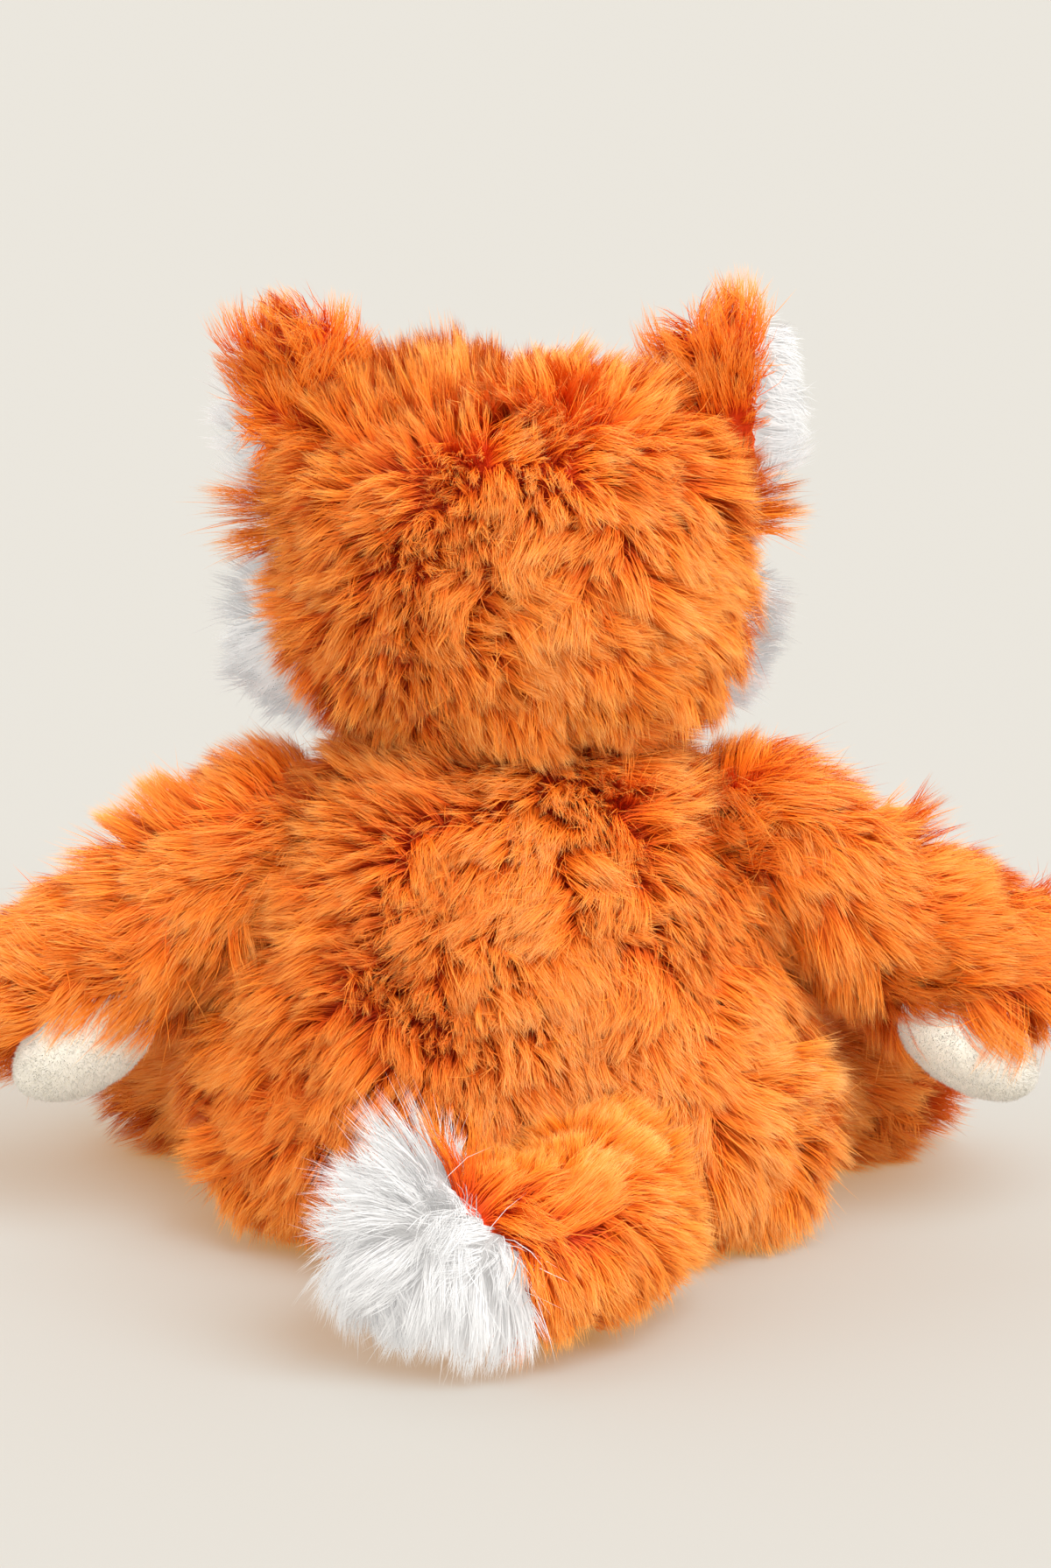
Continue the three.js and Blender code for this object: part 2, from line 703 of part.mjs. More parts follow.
for (const [sideName, side] of Object.entries({ left: 1, right: -1 })) {
  const place = shifted(
    side * headHalfWidth * cheekPlaceShares.x,
    headHalfDepth * cheekPlaceShares.y,
    headMiddle + headHalfHeight * cheekPlaceShares.z,
  );
  const cheek = ellipsoid(cheekRadii, place).subtract(headSolid(seamGap, torsoSides, limbSides));
  keep(`cheek_${sideName}`, whiteFur, cheek, headBody);

  const ear = ears[sideName];
  const earBody = bodyGroup(ear.frame, headBody);
  const form = earPetal(ear, 0).add(earSeam(ear, 0));
  const behind = block(new Vector3(-far, -far, seamGap / 2), new Vector3(far, far, far), ear.frame);
  const before = block(new Vector3(-far, -far, -far), new Vector3(far, far, -seamGap / 2), ear.frame);
  keep(`ear_back_${sideName}`, orangeFur, form.intersect(behind), earBody);
  keep(`ear_lining_${sideName}`, whiteFur, form.intersect(before), earBody);
}

// Arms and legs, each with its pad let into the fur against the filling

function palmPad(limb, side, grow) {
  const turn = degToRad(palmTurn) * side;
  const down = new Vector3(0, Math.sin(turn), -Math.cos(turn));
  const paw = shifted(limb.length - limb.endRadius, 0, 0).multiply(frameOf(new Vector3(), xAxis, down));
  const place = paw.multiply(shifted(0, 0, limb.endRadius - palmSink));
  return ellipsoid(palmRadii, limb.frame.clone().multiply(place), grow);
}

function solePad(limb, side, grow) {
  return ellipsoid(soleRadii, limb.frame.clone().multiply(shifted(limb.length - soleSink, 0, 0)), grow);
}

function keepLimb(limb, side, sideName, names, makePad) {
  const body = bodyGroup(limb.frame);
  const form = limbForm(limb);
  const fur = form.subtract(limbFilling(limb, seamGap)).subtract(makePad(limb, side, seamGap));
  const pad = makePad(limb, side, 0).subtract(limbFilling(limb, seamGap)).intersect(aboveFloor);
  keep(`${names.fur}_${sideName}`, orangeFur, fur, body);
  keep(`${names.pad}_${sideName}`, creamPile, pad, body);
  keep(`${names.filling}_${sideName}`, fibreFill, form.intersect(limbFilling(limb, 0)), body);
}

const armNames = { fur: "arm_fur", pad: "palm_pad", filling: "arm_stuffing" };
const legNames = { fur: "leg_fur", pad: "sole_pad", filling: "leg_stuffing" };
for (const [sideName, side] of Object.entries({ left: 1, right: -1 })) {
  keepLimb(arms[sideName], side, sideName, armNames, palmPad);
  keepLimb(legs[sideName], side, sideName, legNames, solePad);
}

// Tail

const tailBody = bodyGroup(tail.frame);
const tipSeam = tailLength * tipSeamShare;
const tipPlace = tailPath(tipSeam);
const tipFrame = tail.frame.clone().multiply(
  frameOf(tipPlace.centre, new Vector3().crossVectors(tipPlace.side, zAxis), zAxis),
);
const tipBlock = (from) => block(new Vector3(from, -far, -far), new Vector3(far, far, far), tipFrame);
const tailFur = limbForm(tail).subtract(limbFilling(tail, seamGap));
keep("tail_fur", orangeFur, tailFur.subtract(tipBlock(-seamGap)), tailBody);
keep("tail_tip_fur", whiteFur, tailFur.intersect(tipBlock(0)), tailBody);
keep("tail_stuffing", fibreFill, limbForm(tail).intersect(limbFilling(tail, 0)), tailBody);

export default group;
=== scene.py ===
"""The looks of a seated long-pile plush fox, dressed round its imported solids.

Metres, +Z up, the floor at z = 0. The fox faces -Y and its left side is +X.
Each fur panel is a thin sheet of backing fabric with its pile modelled strand by strand:
a strand is a tapered ribbon that leans with its tuft, and each part says which way its tufts lie.
"""

import json
import math

import bpy
import numpy as np
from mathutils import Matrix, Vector
from mathutils.bvhtree import BVHTree
from mathutils.kdtree import KDTree


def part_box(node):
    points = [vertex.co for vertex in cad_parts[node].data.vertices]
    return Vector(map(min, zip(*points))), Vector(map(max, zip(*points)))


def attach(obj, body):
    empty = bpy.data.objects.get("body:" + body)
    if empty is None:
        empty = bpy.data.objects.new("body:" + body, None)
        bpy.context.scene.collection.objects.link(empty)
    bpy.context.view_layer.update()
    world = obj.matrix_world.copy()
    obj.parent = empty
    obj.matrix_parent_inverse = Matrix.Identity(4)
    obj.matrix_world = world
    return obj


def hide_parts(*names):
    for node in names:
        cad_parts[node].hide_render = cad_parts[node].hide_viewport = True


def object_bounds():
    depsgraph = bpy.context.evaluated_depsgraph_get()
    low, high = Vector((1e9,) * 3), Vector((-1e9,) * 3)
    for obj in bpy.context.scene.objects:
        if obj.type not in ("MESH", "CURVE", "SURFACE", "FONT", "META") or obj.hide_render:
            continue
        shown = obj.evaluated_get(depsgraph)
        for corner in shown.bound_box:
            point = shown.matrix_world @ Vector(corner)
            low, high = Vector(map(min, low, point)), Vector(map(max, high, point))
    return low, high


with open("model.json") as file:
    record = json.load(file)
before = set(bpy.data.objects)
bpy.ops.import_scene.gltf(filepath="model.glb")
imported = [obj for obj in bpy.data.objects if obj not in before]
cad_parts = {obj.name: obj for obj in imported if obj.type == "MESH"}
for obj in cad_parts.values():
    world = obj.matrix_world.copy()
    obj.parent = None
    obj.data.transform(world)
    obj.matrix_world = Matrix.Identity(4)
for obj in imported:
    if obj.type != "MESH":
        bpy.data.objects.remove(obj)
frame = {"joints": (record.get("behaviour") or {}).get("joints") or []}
cad_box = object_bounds()
joints = {joint["name"]: joint for joint in frame["joints"]}

MM = 0.001
SEED = 20

# Fabric
PILE_DEPTH = 0.008  # from a form's skin down to its backing fabric, unless the part has its own depth
FABRIC = 0.001  # the backing fabric's own thickness
FLOOR_LIFT = 0.0003  # the least height of a strand
PAST_SOLIDS = 0.0163  # how far the highest strand stands above the solids
CEILING = cad_box[1].z + PAST_SOLIDS
BURIED = 0.010  # fur rooted deeper than this inside another part is left out
UNDER_PAD = 0.0005  # and so is a strand that gets deeper than this into a pad


# Vectors and noise


def unit(vectors):
    length = np.linalg.norm(vectors, axis=-1, keepdims=True)
    return vectors / np.maximum(length, 1e-12)


def rows(x, y, z):
    """Vectors, one to a row. Each part is a column, or one number for all rows."""
    return np.stack(np.broadcast_arrays(x, y, z), axis=-1)


def along_surface(vectors, normals):
    """The part of each vector that lies in the surface, at unit length."""
    return unit(vectors - normals * np.sum(vectors * normals, axis=-1, keepdims=True))


def bump(values, middle, reach):
    """1 at the middle, falling smoothly to 0 at reach from it."""
    t = np.clip(1 - np.abs(values - middle) / reach, 0, 1)
    return t * t * (3 - 2 * t)


def step(values, start, end):
    """0 up to start, rising smoothly to 1 at end."""
    t = np.clip((values - start) / (end - start), 0, 1)
    return t * t * (3 - 2 * t)


def swirl(points, wavelength, seed, channels=3):
    """Smooth seeded noise, about -1 to 1, with one column for each channel."""
    rng = np.random.default_rng(seed)
    waves = 7
    total = np.zeros((len(points), channels))
    for channel in range(channels):
        directions = unit(rng.normal(size=(waves, 3)))
        pitch = 2 * math.pi / (wavelength * rng.uniform(0.7, 1.5, waves))
        phase = rng.uniform(0, 2 * math.pi, waves)
        total[:, channel] = np.sin(points @ (directions * pitch[:, None]).T + phase).sum(axis=1)
    return total / math.sqrt(waves * 2)


def curve_through(points, count):
    """Evenly spaced points on a smooth curve through the given ones."""
    points = np.asarray(points, float)
    chord = np.r_[0, np.cumsum(np.linalg.norm(np.diff(points, axis=0), axis=1))]
    slope = np.gradient(points, chord, axis=0)
    where = np.linspace(0, chord[-1], count)
    k = np.clip(np.searchsorted(chord, where, side="right") - 1, 0, len(points) - 2)
    span = (chord[k + 1] - chord[k])[:, None]
    t = (where - chord[k])[:, None] / span
    start = (2 * t**3 - 3 * t**2 + 1) * points[k] + (t**3 - 2 * t**2 + t) * span * slope[k]
    end = (3 * t**2 - 2 * t**3) * points[k + 1] + (t**3 - t**2) * span * slope[k + 1]
    return start + end


# Forms: closed surfaces through rings


class Form:
    """A closed soft form: its skin, its backing under the pile, and its normals."""

    def __init__(self, rings, first, last, lumps=0.0, wavelength=0.05, depth=PILE_DEPTH, floor=True):
        levels, columns, _ = rings.shape
        self.verts = np.vstack([rings.reshape(-1, 3), first, last])
        grid = np.arange(levels * columns).reshape(levels, columns)
        a, b = grid[:-1], np.roll(grid[:-1], -1, axis=1)
        d, c = grid[1:], np.roll(grid[1:], -1, axis=1)
        walls = np.stack([a, b, c, a, c, d], axis=-1).reshape(-1, 3)
        tip = levels * columns
        low = np.stack([np.full(columns, tip), np.roll(grid[0], -1), grid[0]], axis=-1)
        high = np.stack([np.full(columns, tip + 1), grid[-1], np.roll(grid[-1], -1)], axis=-1)
        self.tris = np.vstack([walls, low, high])
        corners = self.verts[self.tris]
        volume = np.sum(corners[:, 0] * np.cross(corners[:, 1], corners[:, 2]))
        if volume < 0:
            self.tris = self.tris[:, ::-1]
        self.normals = self.find_normals()
        noise = swirl(self.verts, wavelength, SEED + 1, 1)
        self.verts = self.verts + self.normals * noise * lumps
        self.normals = self.find_normals()
        self.backing = self.verts - self.normals * depth
        if floor:
            self.backing[:, 2] = np.maximum(self.backing[:, 2], 2 * FABRIC)
        self.tree = BVHTree.FromPolygons(self.verts.tolist(), self.tris.tolist())
        self.low, self.high = self.verts.min(axis=0), self.verts.max(axis=0)
        self.pile_depth = depth

    def find_normals(self):
        corners = self.verts[self.tris]
        faces = np.cross(corners[:, 1] - corners[:, 0], corners[:, 2] - corners[:, 0])
        normals = np.zeros_like(self.verts)
        for k in range(3):
            np.add.at(normals, self.tris[:, k], faces)
        return unit(normals)

    def depth(self, points):
        """How deep each point lies under the skin, or a negative number outside it."""
        found = np.full(len(points), -1.0)
        near = np.all((points > self.low) & (points < self.high), axis=1)
        for i in np.flatnonzero(near):
            spot, normal, _, _ = self.tree.find_nearest(points[i].tolist())
            found[i] = (spot - Vector(points[i])).dot(normal)
        return found


def rings_of(profile, centre, across, away, along, columns, squareness):
    """Rings for a profile of (distance along, half width, half depth) rows."""
    angle = np.linspace(0, 2 * math.pi, columns, endpoint=False)
    cosine, sine = np.cos(angle), np.sin(angle)
    power = 2 / squareness
    u = np.sign(cosine) * np.abs(cosine) ** power
    v = np.sign(sine) * np.abs(sine) ** power
    rings = []
    for distance, width, reach in profile:
        ring = centre + along * distance + np.outer(u * width, across) + np.outer(v * reach, away)
        rings.append(ring)
    return np.array(rings)


X_AXIS, Y_AXIS, Z_AXIS = AXES = np.eye(3)


def square_to(along):
    """Two directions square to this one and to each other, the first of them level."""
    level = unit(np.cross(Z_AXIS, along))
    return level, np.cross(along, level)


def ring_form(shares, half, span, axes, centre, squareness, **form):
    """A form whose rings are shares of its span, its half width and its half depth."""
    across, away, along = axes
    scaled = [((1 - h) * span[0] + h * span[1], w * half[0], d * half[1]) for h, w, d in shares]
    profile = curve_through(scaled, 66)
    rings = rings_of(profile[1:-1], centre, across, away, along, 96, squareness)
    return Form(rings, centre + along * profile[0, 0], centre + along * profile[-1, 0], **form)


# Strands


def scatter(form, density, rng):
    """Points on the backing, with their normals, at so many a square metre."""
    corners = form.backing[form.tris]
    cross = np.cross(corners[:, 1] - corners[:, 0], corners[:, 2] - corners[:, 0])
    areas = np.linalg.norm(cross, axis=1) / 2
    total = np.cumsum(areas)
    count = int(total[-1] * density)
    where = (np.arange(count) + rng.random(count)) / count * total[-1]
    chosen = np.minimum(np.searchsorted(total, where), len(total) - 1)
    a, b = rng.random((2, count, 1))
    flip = (a + b) > 1
    a, b = np.where(flip, 1 - a, a), np.where(flip, 1 - b, b)
    weights = np.concatenate([1 - a - b, a, b], axis=1)[:, :, None]
    points = (form.backing[form.tris[chosen]] * weights).sum(axis=1)
    normals = unit((form.normals[form.tris[chosen]] * weights).sum(axis=1))
    return points, normals


def spread_seeds(points, spacing):
    """The points that keep at least this spacing to those chosen before them."""
    kept = np.empty((0, 3))
    chosen = []
    for i, point in enumerate(points):
        if len(kept) == 0 or np.min(np.sum((kept - point) ** 2, axis=1)) > spacing**2:
            kept = np.vstack([kept, point])
            chosen.append(i)
    return np.array(chosen)


def nearest(points, seeds):
    """For each point, the index of the seed next to it."""
    tree = KDTree(len(seeds))
    for i, seed in enumerate(seeds.tolist()):
        tree.insert(seed, i)
    tree.balance()
    return np.array([tree.find(point)[1] for point in points.tolist()])


def centre_lines(roots, normals, combs, leans, lengths, bends):
    """Four points along each strand, which leans over more, and bends sideways, towards its tip."""
    points = [roots]
    across = np.cross(normals, combs)
    for share in (0.5, 0.95, 1.2):
        lean, bend = (leans * share)[:, None], (bends * (share - 0.5))[:, None]
        lying = np.cos(bend) * combs + np.sin(bend) * across
        direction = np.cos(lean) * normals + np.sin(lean) * lying
        points.append(points[-1] + direction * (lengths / 3)[:, None])
    return np.array(points)


class Pile:
    """What a part's pile is like: lengths in millimetres, and strands to a square millimetre.

    The comb gives which way each tuft lies, its lean in degrees and its share of the length.
    Gather draws wisps together into tufts, and clump draws strands together into wisps."""

    def __init__(self, comb, length=20, density=5.2, tuft=7.5, wisp=1.7, width=0.2,
                 tone=None, gather=0.56, clump=0.42, unruly=0.3, softness=0.6):
        self.comb, self.tone, self.density = comb, tone, density / MM**2
        self.length, self.tuft, self.wisp, self.width = length * MM, tuft * MM, wisp * MM, width * MM
        self.gather, self.clump, self.unruly, self.softness = gather, clump, unruly, softness


STATION_PULL_SHARES = (0, 0.45, 0.8, 1)  # how much of the gathering each station gets
TUFT_CHOICES = 8  # places tried for each tuft
TUFT_LEAN_SPREAD = 12  # in degrees
TUFT_LEAN_LIMITS = (3, 78)
TUFT_BEND, WISP_BEND = 0.45, 0.2  # in radians
TUFT_LENGTH_SHARES = (0.74, 1.16)  # the least and the most, as all pairs of shares are
TUFT_DRIFT, DRIFT_WAVE = 1.5, 5  # the wave is as long as this many tufts
SHADE_SPREAD, WISP_SHADE_SPREAD = 0.12, 0.08
SHADE_PATCH = 0.05  # the size of lighter and darker patches
SHADE_LIMITS = (0.01, 0.99)
EDGE_BLUR, WISP_EDGE_BLUR = 0.12, 0.2  # how far a tuft's or wisp's border wanders, as a share of it
WISP_WANDER = (0.16, 0.5)  # in a lying tuft, and how much more in a ruffled one
WISP_SWAY = (0.07, 0.2)  # the same
WISP_LOSS = (0.17, 0.16)  # the same, in length
WISP_MOST_LENGTH = 1.05
WISP_GATHER_SHARES = (0.7, 1.2)
FLUFFY_LEAN, LYING_LEAN = 0.3, 0.85  # in radians: tufts that lean less are ruffled, others lie smooth
UPRIGHT_SHARE = 0.22  # of the wisps stand up through the rest, as an undercoat
UPRIGHT_LENGTH_SHARE, UPRIGHT_LEAN_SHARE, UPRIGHT_GATHER_SHARE = 0.78, 0.5, 0.3
STRAY_SHARE = 0.05  # of the strands wander on their own
STRAY_LENGTH_SHARE, STRAY_GATHER_SHARE = 1.12, 0.2
STRAND_WANDER, STRAY_WANDER = 0.1, 0.5
STRAND_SWAY = 0.05
STRAND_LENGTH_SHARES = (0.86, 1.04)
STRAND_GATHER_SHARES = STRAND_WIDTH_SHARES = (0.7, 1.3)
STRAND_JITTER = 0.00015
STRAND_TURN = math.radians(38)  # how far a ribbon turns about its length


class Locks:
    """Tufts, wisps or strands: where each is rooted, how it lies, its shade and its middle line."""

    def __init__(self, roots, normals, combs, leans, bends, lengths, shades=None):
        self.roots, self.combs, self.leans = roots, combs, leans
        self.bends, self.lengths, self.shades = bends, lengths, shades
        self.lines = centre_lines(roots, normals, combs, leans, lengths, bends)

    def gather(self, others, owner, shares):
        """Draw each line by its share towards the line of the lock that owns it."""
        for k, pull in enumerate(STATION_PULL_SHARES):
            self.lines[k] += (others.lines[k][owner] - self.lines[k]) * (shares * pull)[:, None]


def tufts_of(form, pile, seed, rng):
    """Blunt tufts, evenly spread, that each lean their own way about the comb."""
    places, place_normals = scatter(form, TUFT_CHOICES / pile.tuft**2, rng)
    order = rng.permutation(len(places))
    chosen = order[spread_seeds(places[order], pile.tuft)]
    roots, normals = places[chosen], place_normals[chosen]
    count = len(roots)
    comb, lean, reach = pile.comb(roots, normals)
    drift = TUFT_DRIFT * pile.unruly * swirl(roots, DRIFT_WAVE * pile.tuft, seed)
    combs = along_surface(unit(comb) + (pile.unruly * rng.normal(size=(count, 3)) + drift), normals)
    leans = np.radians(np.clip(lean + rng.normal(size=count) * TUFT_LEAN_SPREAD, *TUFT_LEAN_LIMITS))
    bends = rng.normal(size=count) * TUFT_BEND
    lengths = pile.length * reach * rng.uniform(*TUFT_LENGTH_SHARES, count)
    shades = SHADE_SPREAD * rng.normal(size=count)
    shades = shades + SHADE_SPREAD * swirl(roots, SHADE_PATCH, seed + 5, 1)[:, 0]
    # painted light: a part's painted sheen and shade, added to its tufts' shades by region
    if pile.tone:
        shades += pile.tone(roots)
    return Locks(roots, normals, combs, leans, bends, lengths, shades)


def wisps_of(form, pile, tufts, rng):
    """Wisps that lie with their tuft, and wander more the less it leans."""
    roots, normals = scatter(form, 1 / pile.wisp**2, rng)
    count = len(roots)
    tuft = nearest(roots + rng.normal(size=roots.shape) * pile.tuft * EDGE_BLUR, tufts.roots)
    fluff = (1 - step(tufts.leans, FLUFFY_LEAN, LYING_LEAN))[tuft]
    wander = (WISP_WANDER[0] + WISP_WANDER[1] * fluff)[:, None] * rng.normal(size=(count, 3))
    combs = along_surface(tufts.combs[tuft] + wander, normals)
    upright = rng.random(count) < UPRIGHT_SHARE
    sway = (WISP_SWAY[0] + WISP_SWAY[1] * fluff) * rng.normal(size=count)
    leans = (tufts.leans[tuft] + sway) * np.where(upright, UPRIGHT_LEAN_SHARE, 1)
    bends = tufts.bends[tuft] + WISP_BEND * rng.normal(size=count)
    loss = (WISP_LOSS[0] + WISP_LOSS[1] * fluff) * rng.random(count)
    lengths = tufts.lengths[tuft] * (WISP_MOST_LENGTH - loss)
    shades = tufts.shades[tuft] + WISP_SHADE_SPREAD * rng.normal(size=count)
    lengths = lengths * np.where(upright, UPRIGHT_LENGTH_SHARE, 1)
    wisps = Locks(roots, normals, combs, leans, bends, lengths, shades)
    pull = pile.gather * rng.uniform(*WISP_GATHER_SHARES, count)
    wisps.gather(tufts, tuft, pull * np.where(upright, UPRIGHT_GATHER_SHARE, 1))
    return wisps


def strands_of(form, pile, seed, skip=(), pads=()):
    """Every strand of a form: its root, middle line, side, soft normal, shade and width."""
    rng = np.random.default_rng(seed)
    wisps = wisps_of(form, pile, tufts_of(form, pile, seed, rng), rng)
    roots, normals = scatter(form, pile.density, rng)
    keep = np.ones(len(roots), bool)
    for other in skip:
        keep &= other.depth(roots) < BURIED
    roots, normals = roots[keep], normals[keep]
    count = len(roots)
    wisp = nearest(roots + rng.normal(size=roots.shape) * pile.wisp * WISP_EDGE_BLUR, wisps.roots)
    stray = rng.random(count) < STRAY_SHARE
    wild = np.where(stray, STRAY_WANDER, STRAND_WANDER)[:, None]
    combs = along_surface(wisps.combs[wisp] + wild * rng.normal(size=(count, 3)), normals)
    leans = wisps.leans[wisp] + STRAND_SWAY * rng.normal(size=count)
    lengths = wisps.lengths[wisp] * rng.uniform(*STRAND_LENGTH_SHARES, count)
    lengths = lengths * np.where(stray, STRAY_LENGTH_SHARE, 1)
    strands = Locks(roots, normals, combs, leans, wisps.bends[wisp], lengths)
    pull = pile.clump * rng.uniform(*STRAND_GATHER_SHARES, count)
    strands.gather(wisps, wisp, pull * np.where(stray, STRAY_GATHER_SHARE, 1))
    lines = strands.lines
    for k in range(len(lines)):
        lines[k] += rng.normal(size=(count, 3)) * (STRAND_JITTER * k)
    lift = FLOOR_LIFT * (1 + rng.random((4, count)))
    lines[:, :, 2] = np.minimum(np.maximum(lines[:, :, 2], lift), CEILING - lift)

    direction = unit(lines[2] - lines[0])
    side = unit(np.cross(direction, normals + 1e-6))
    turn = rng.normal(size=(count, 1)) * STRAND_TURN
    side = side * np.cos(turn) + np.cross(direction, side) * np.sin(turn)
    facing = np.cross(side, direction)
    side = side * np.where(np.sum(facing * normals, axis=1) < 0, -1, 1)[:, None]
    facing = np.cross(side, direction)
    soft = unit(facing * (1 - pile.softness) + normals * pile.softness)
    shade = 0.5 + wisps.shades[wisp] + SHADE_SPREAD * rng.normal(size=count)
    shade = np.clip(shade, *SHADE_LIMITS)
    width = pile.width * rng.uniform(*STRAND_WIDTH_SHARES, count)
    made = {"root": roots, "lines": lines, "side": side, "soft": soft, "shade": shade, "width": width}
    clear = np.ones(count, bool)
    for pad in pads:
        for station in lines:
            clear &= pad.depth(station) < UNDER_PAD
    return pick(made, clear)


def pick(strands, mask):
    """The strands that the mask holds."""
    return {key: kept[:, mask] if key == "lines" else kept[mask] for key, kept in strands.items()}


RIBBON_WIDTH_SHARES = (0.9, 1.0, 0.75)  # at each station before the tip


def ribbons(strands):
    """Vertices, quads, triangles, a (shade, along) pair and a normal for each vertex."""
    lines, side, width = strands["lines"], strands["side"], strands["width"]
    count = len(side)
    edges = []
    for k, share in enumerate(RIBBON_WIDTH_SHARES):
        half = side * (width * share / 2)[:, None]
        edges += [lines[k] - half, lines[k] + half]
    verts = np.stack([*edges, lines[3]], axis=1).reshape(-1, 3)
    start = np.arange(count)[:, None] * 7
    quads = np.concatenate([start + [0, 1, 3, 2], start + [2, 3, 5, 4]])
    tips = start + [4, 5, 6]
    station = np.array([0, 0, 0.36, 0.36, 0.7, 0.7, 1])
    marks = np.stack([np.repeat(strands["shade"], 7), np.tile(station, count)], axis=1)
    return verts, quads, tips, marks, np.repeat(strands["soft"], 7, axis=0)


def fabric(form, mask, seed):
    """A closed sheet of backing fabric under the triangles whose middles the mask holds."""
    middles = form.backing[form.tris].mean(axis=1)
    tris = form.tris[mask(middles)]
    used, tris = np.unique(tris, return_inverse=True)
    tris = tris.reshape(-1, 3)
    outer = form.backing[used]
    inner = outer - form.normals[used] * FABRIC
    count = len(used)
    edges = np.concatenate([tris[:, [0, 1]], tris[:, [1, 2]], tris[:, [2, 0]]])
    known = set(map(tuple, edges.tolist()))
    rim = np.array([edge for edge in edges.tolist() if (edge[1], edge[0]) not in known]).reshape(-1, 2)
    walls = np.stack([rim[:, 1], rim[:, 0], rim[:, 0] + count, rim[:, 1] + count], axis=1)
    verts = np.vstack([outer, inner])
    shade = np.clip(0.5 + 0.25 * swirl(verts, 0.02, seed, 1)[:, 0], *SHADE_LIMITS)
    # The backing takes the dark colour of the strands' roots: painted shade at the bottom of the pile.
    marks = np.stack([shade, np.full(len(verts), 0.02)], axis=1)
    normals = np.vstack([form.normals[used], -form.normals[used]])
    return verts, walls, np.vstack([tris, tris[:, ::-1] + count]), marks, normals


def mesh_from(name, blocks, material):
    """One object from blocks of vertices, quads, triangles, UV marks and normals."""
    verts = np.vstack([block[0] for block in blocks])
    starts = np.cumsum([0] + [len(block[0]) for block in blocks[:-1]])
    quads = np.vstack([block[1] + start for block, start in zip(blocks, starts)])
    tris = np.vstack([block[2] + start for block, start in zip(blocks, starts)])
    corners = np.concatenate([quads.ravel(), tris.ravel()]).astype(np.int32)
    sizes = np.concatenate([np.full(len(quads), 4), np.full(len(tris), 3)])
    mesh = bpy.data.meshes.new(name)
    mesh.vertices.add(len(verts))
    mesh.vertices.foreach_set("co", verts.astype(np.float32).ravel())
    mesh.loops.add(len(corners))
    mesh.loops.foreach_set("vertex_index", corners)
    mesh.polygons.add(len(sizes))
    mesh.polygons.foreach_set("loop_start", np.r_[0, np.cumsum(sizes)[:-1]].astype(np.int32))
    mesh.update(calc_edges=True)
    if blocks[0][3] is not None:
        marks = np.vstack([block[3] for block in blocks])
        uv = mesh.uv_layers.new(name="OFBake")
        uv.data.foreach_set("uv", marks[corners].astype(np.float32).ravel())
    mesh.shade_smooth()
    mesh.normals_split_custom_set_from_vertices(np.vstack([block[4] for block in blocks]))
    mesh.materials.append(material)
    piece = bpy.data.objects.new(name, mesh)
    bpy.context.scene.collection.objects.link(piece)
    return piece


# Materials


def material_with_nodes(name):
    material = bpy.data.materials.new(name)
    material.use_nodes = True
    nodes = material.node_tree.nodes
    nodes.clear()
    output = nodes.new("ShaderNodeOutputMaterial")
    shader = nodes.new("ShaderNodeBsdfPrincipled")
    material.node_tree.links.new(shader.outputs[0], output.inputs[0])
    return material, nodes, material.node_tree.links, shader


def set_inputs(node, values):
    for name, value in values.items():
        node.inputs[name].default_value = value


def ramp_node(nodes, stops):
    ramp = nodes.new("ShaderNodeValToRGB")
    elements = ramp.color_ramp.elements
    while len(elements) < len(stops):
        elements.new(0.5)
    for element, (place, colour) in zip(elements, stops):
        element.position = place
        element.color = (*colour, 1)
    return ramp


def fur_material(name, along, shades, sheen_tint, sheen, glow=0.0):
    """Colour runs along each strand from root to tip, and varies from strand to strand.

    The glow stands for light that pale fibres pass on to each other."""
    material, nodes, links, shader = material_with_nodes(name)
    uv = nodes.new("ShaderNodeUVMap")
    uv.uv_map = "OFBake"
    split = nodes.new("ShaderNodeSeparateXYZ")
    links.new(uv.outputs[0], split.inputs[0])
    length = ramp_node(nodes, along)
    shade = ramp_node(nodes, shades)
    links.new(split.outputs["X"], shade.inputs[0])
    links.new(split.outputs["Y"], length.inputs[0])
    mix = nodes.new("ShaderNodeMix")
    mix.data_type = "RGBA"
    mix.blend_type = "MULTIPLY"
    mix.inputs["Factor"].default_value = 1
    links.new(length.outputs[0], mix.inputs["A"])
    links.new(shade.outputs[0], mix.inputs["B"])
    links.new(mix.outputs["Result"], shader.inputs["Base Color"])
    set_inputs(shader, {"Roughness": 0.55, "Specular IOR Level": 0.2})
    set_inputs(shader, {"Sheen Weight": sheen, "Sheen Roughness": 0.45, "Sheen Tint": (*sheen_tint, 1)})
    set_inputs(shader, {"Emission Color": (*sheen_tint, 1), "Emission Strength": glow})
    return material
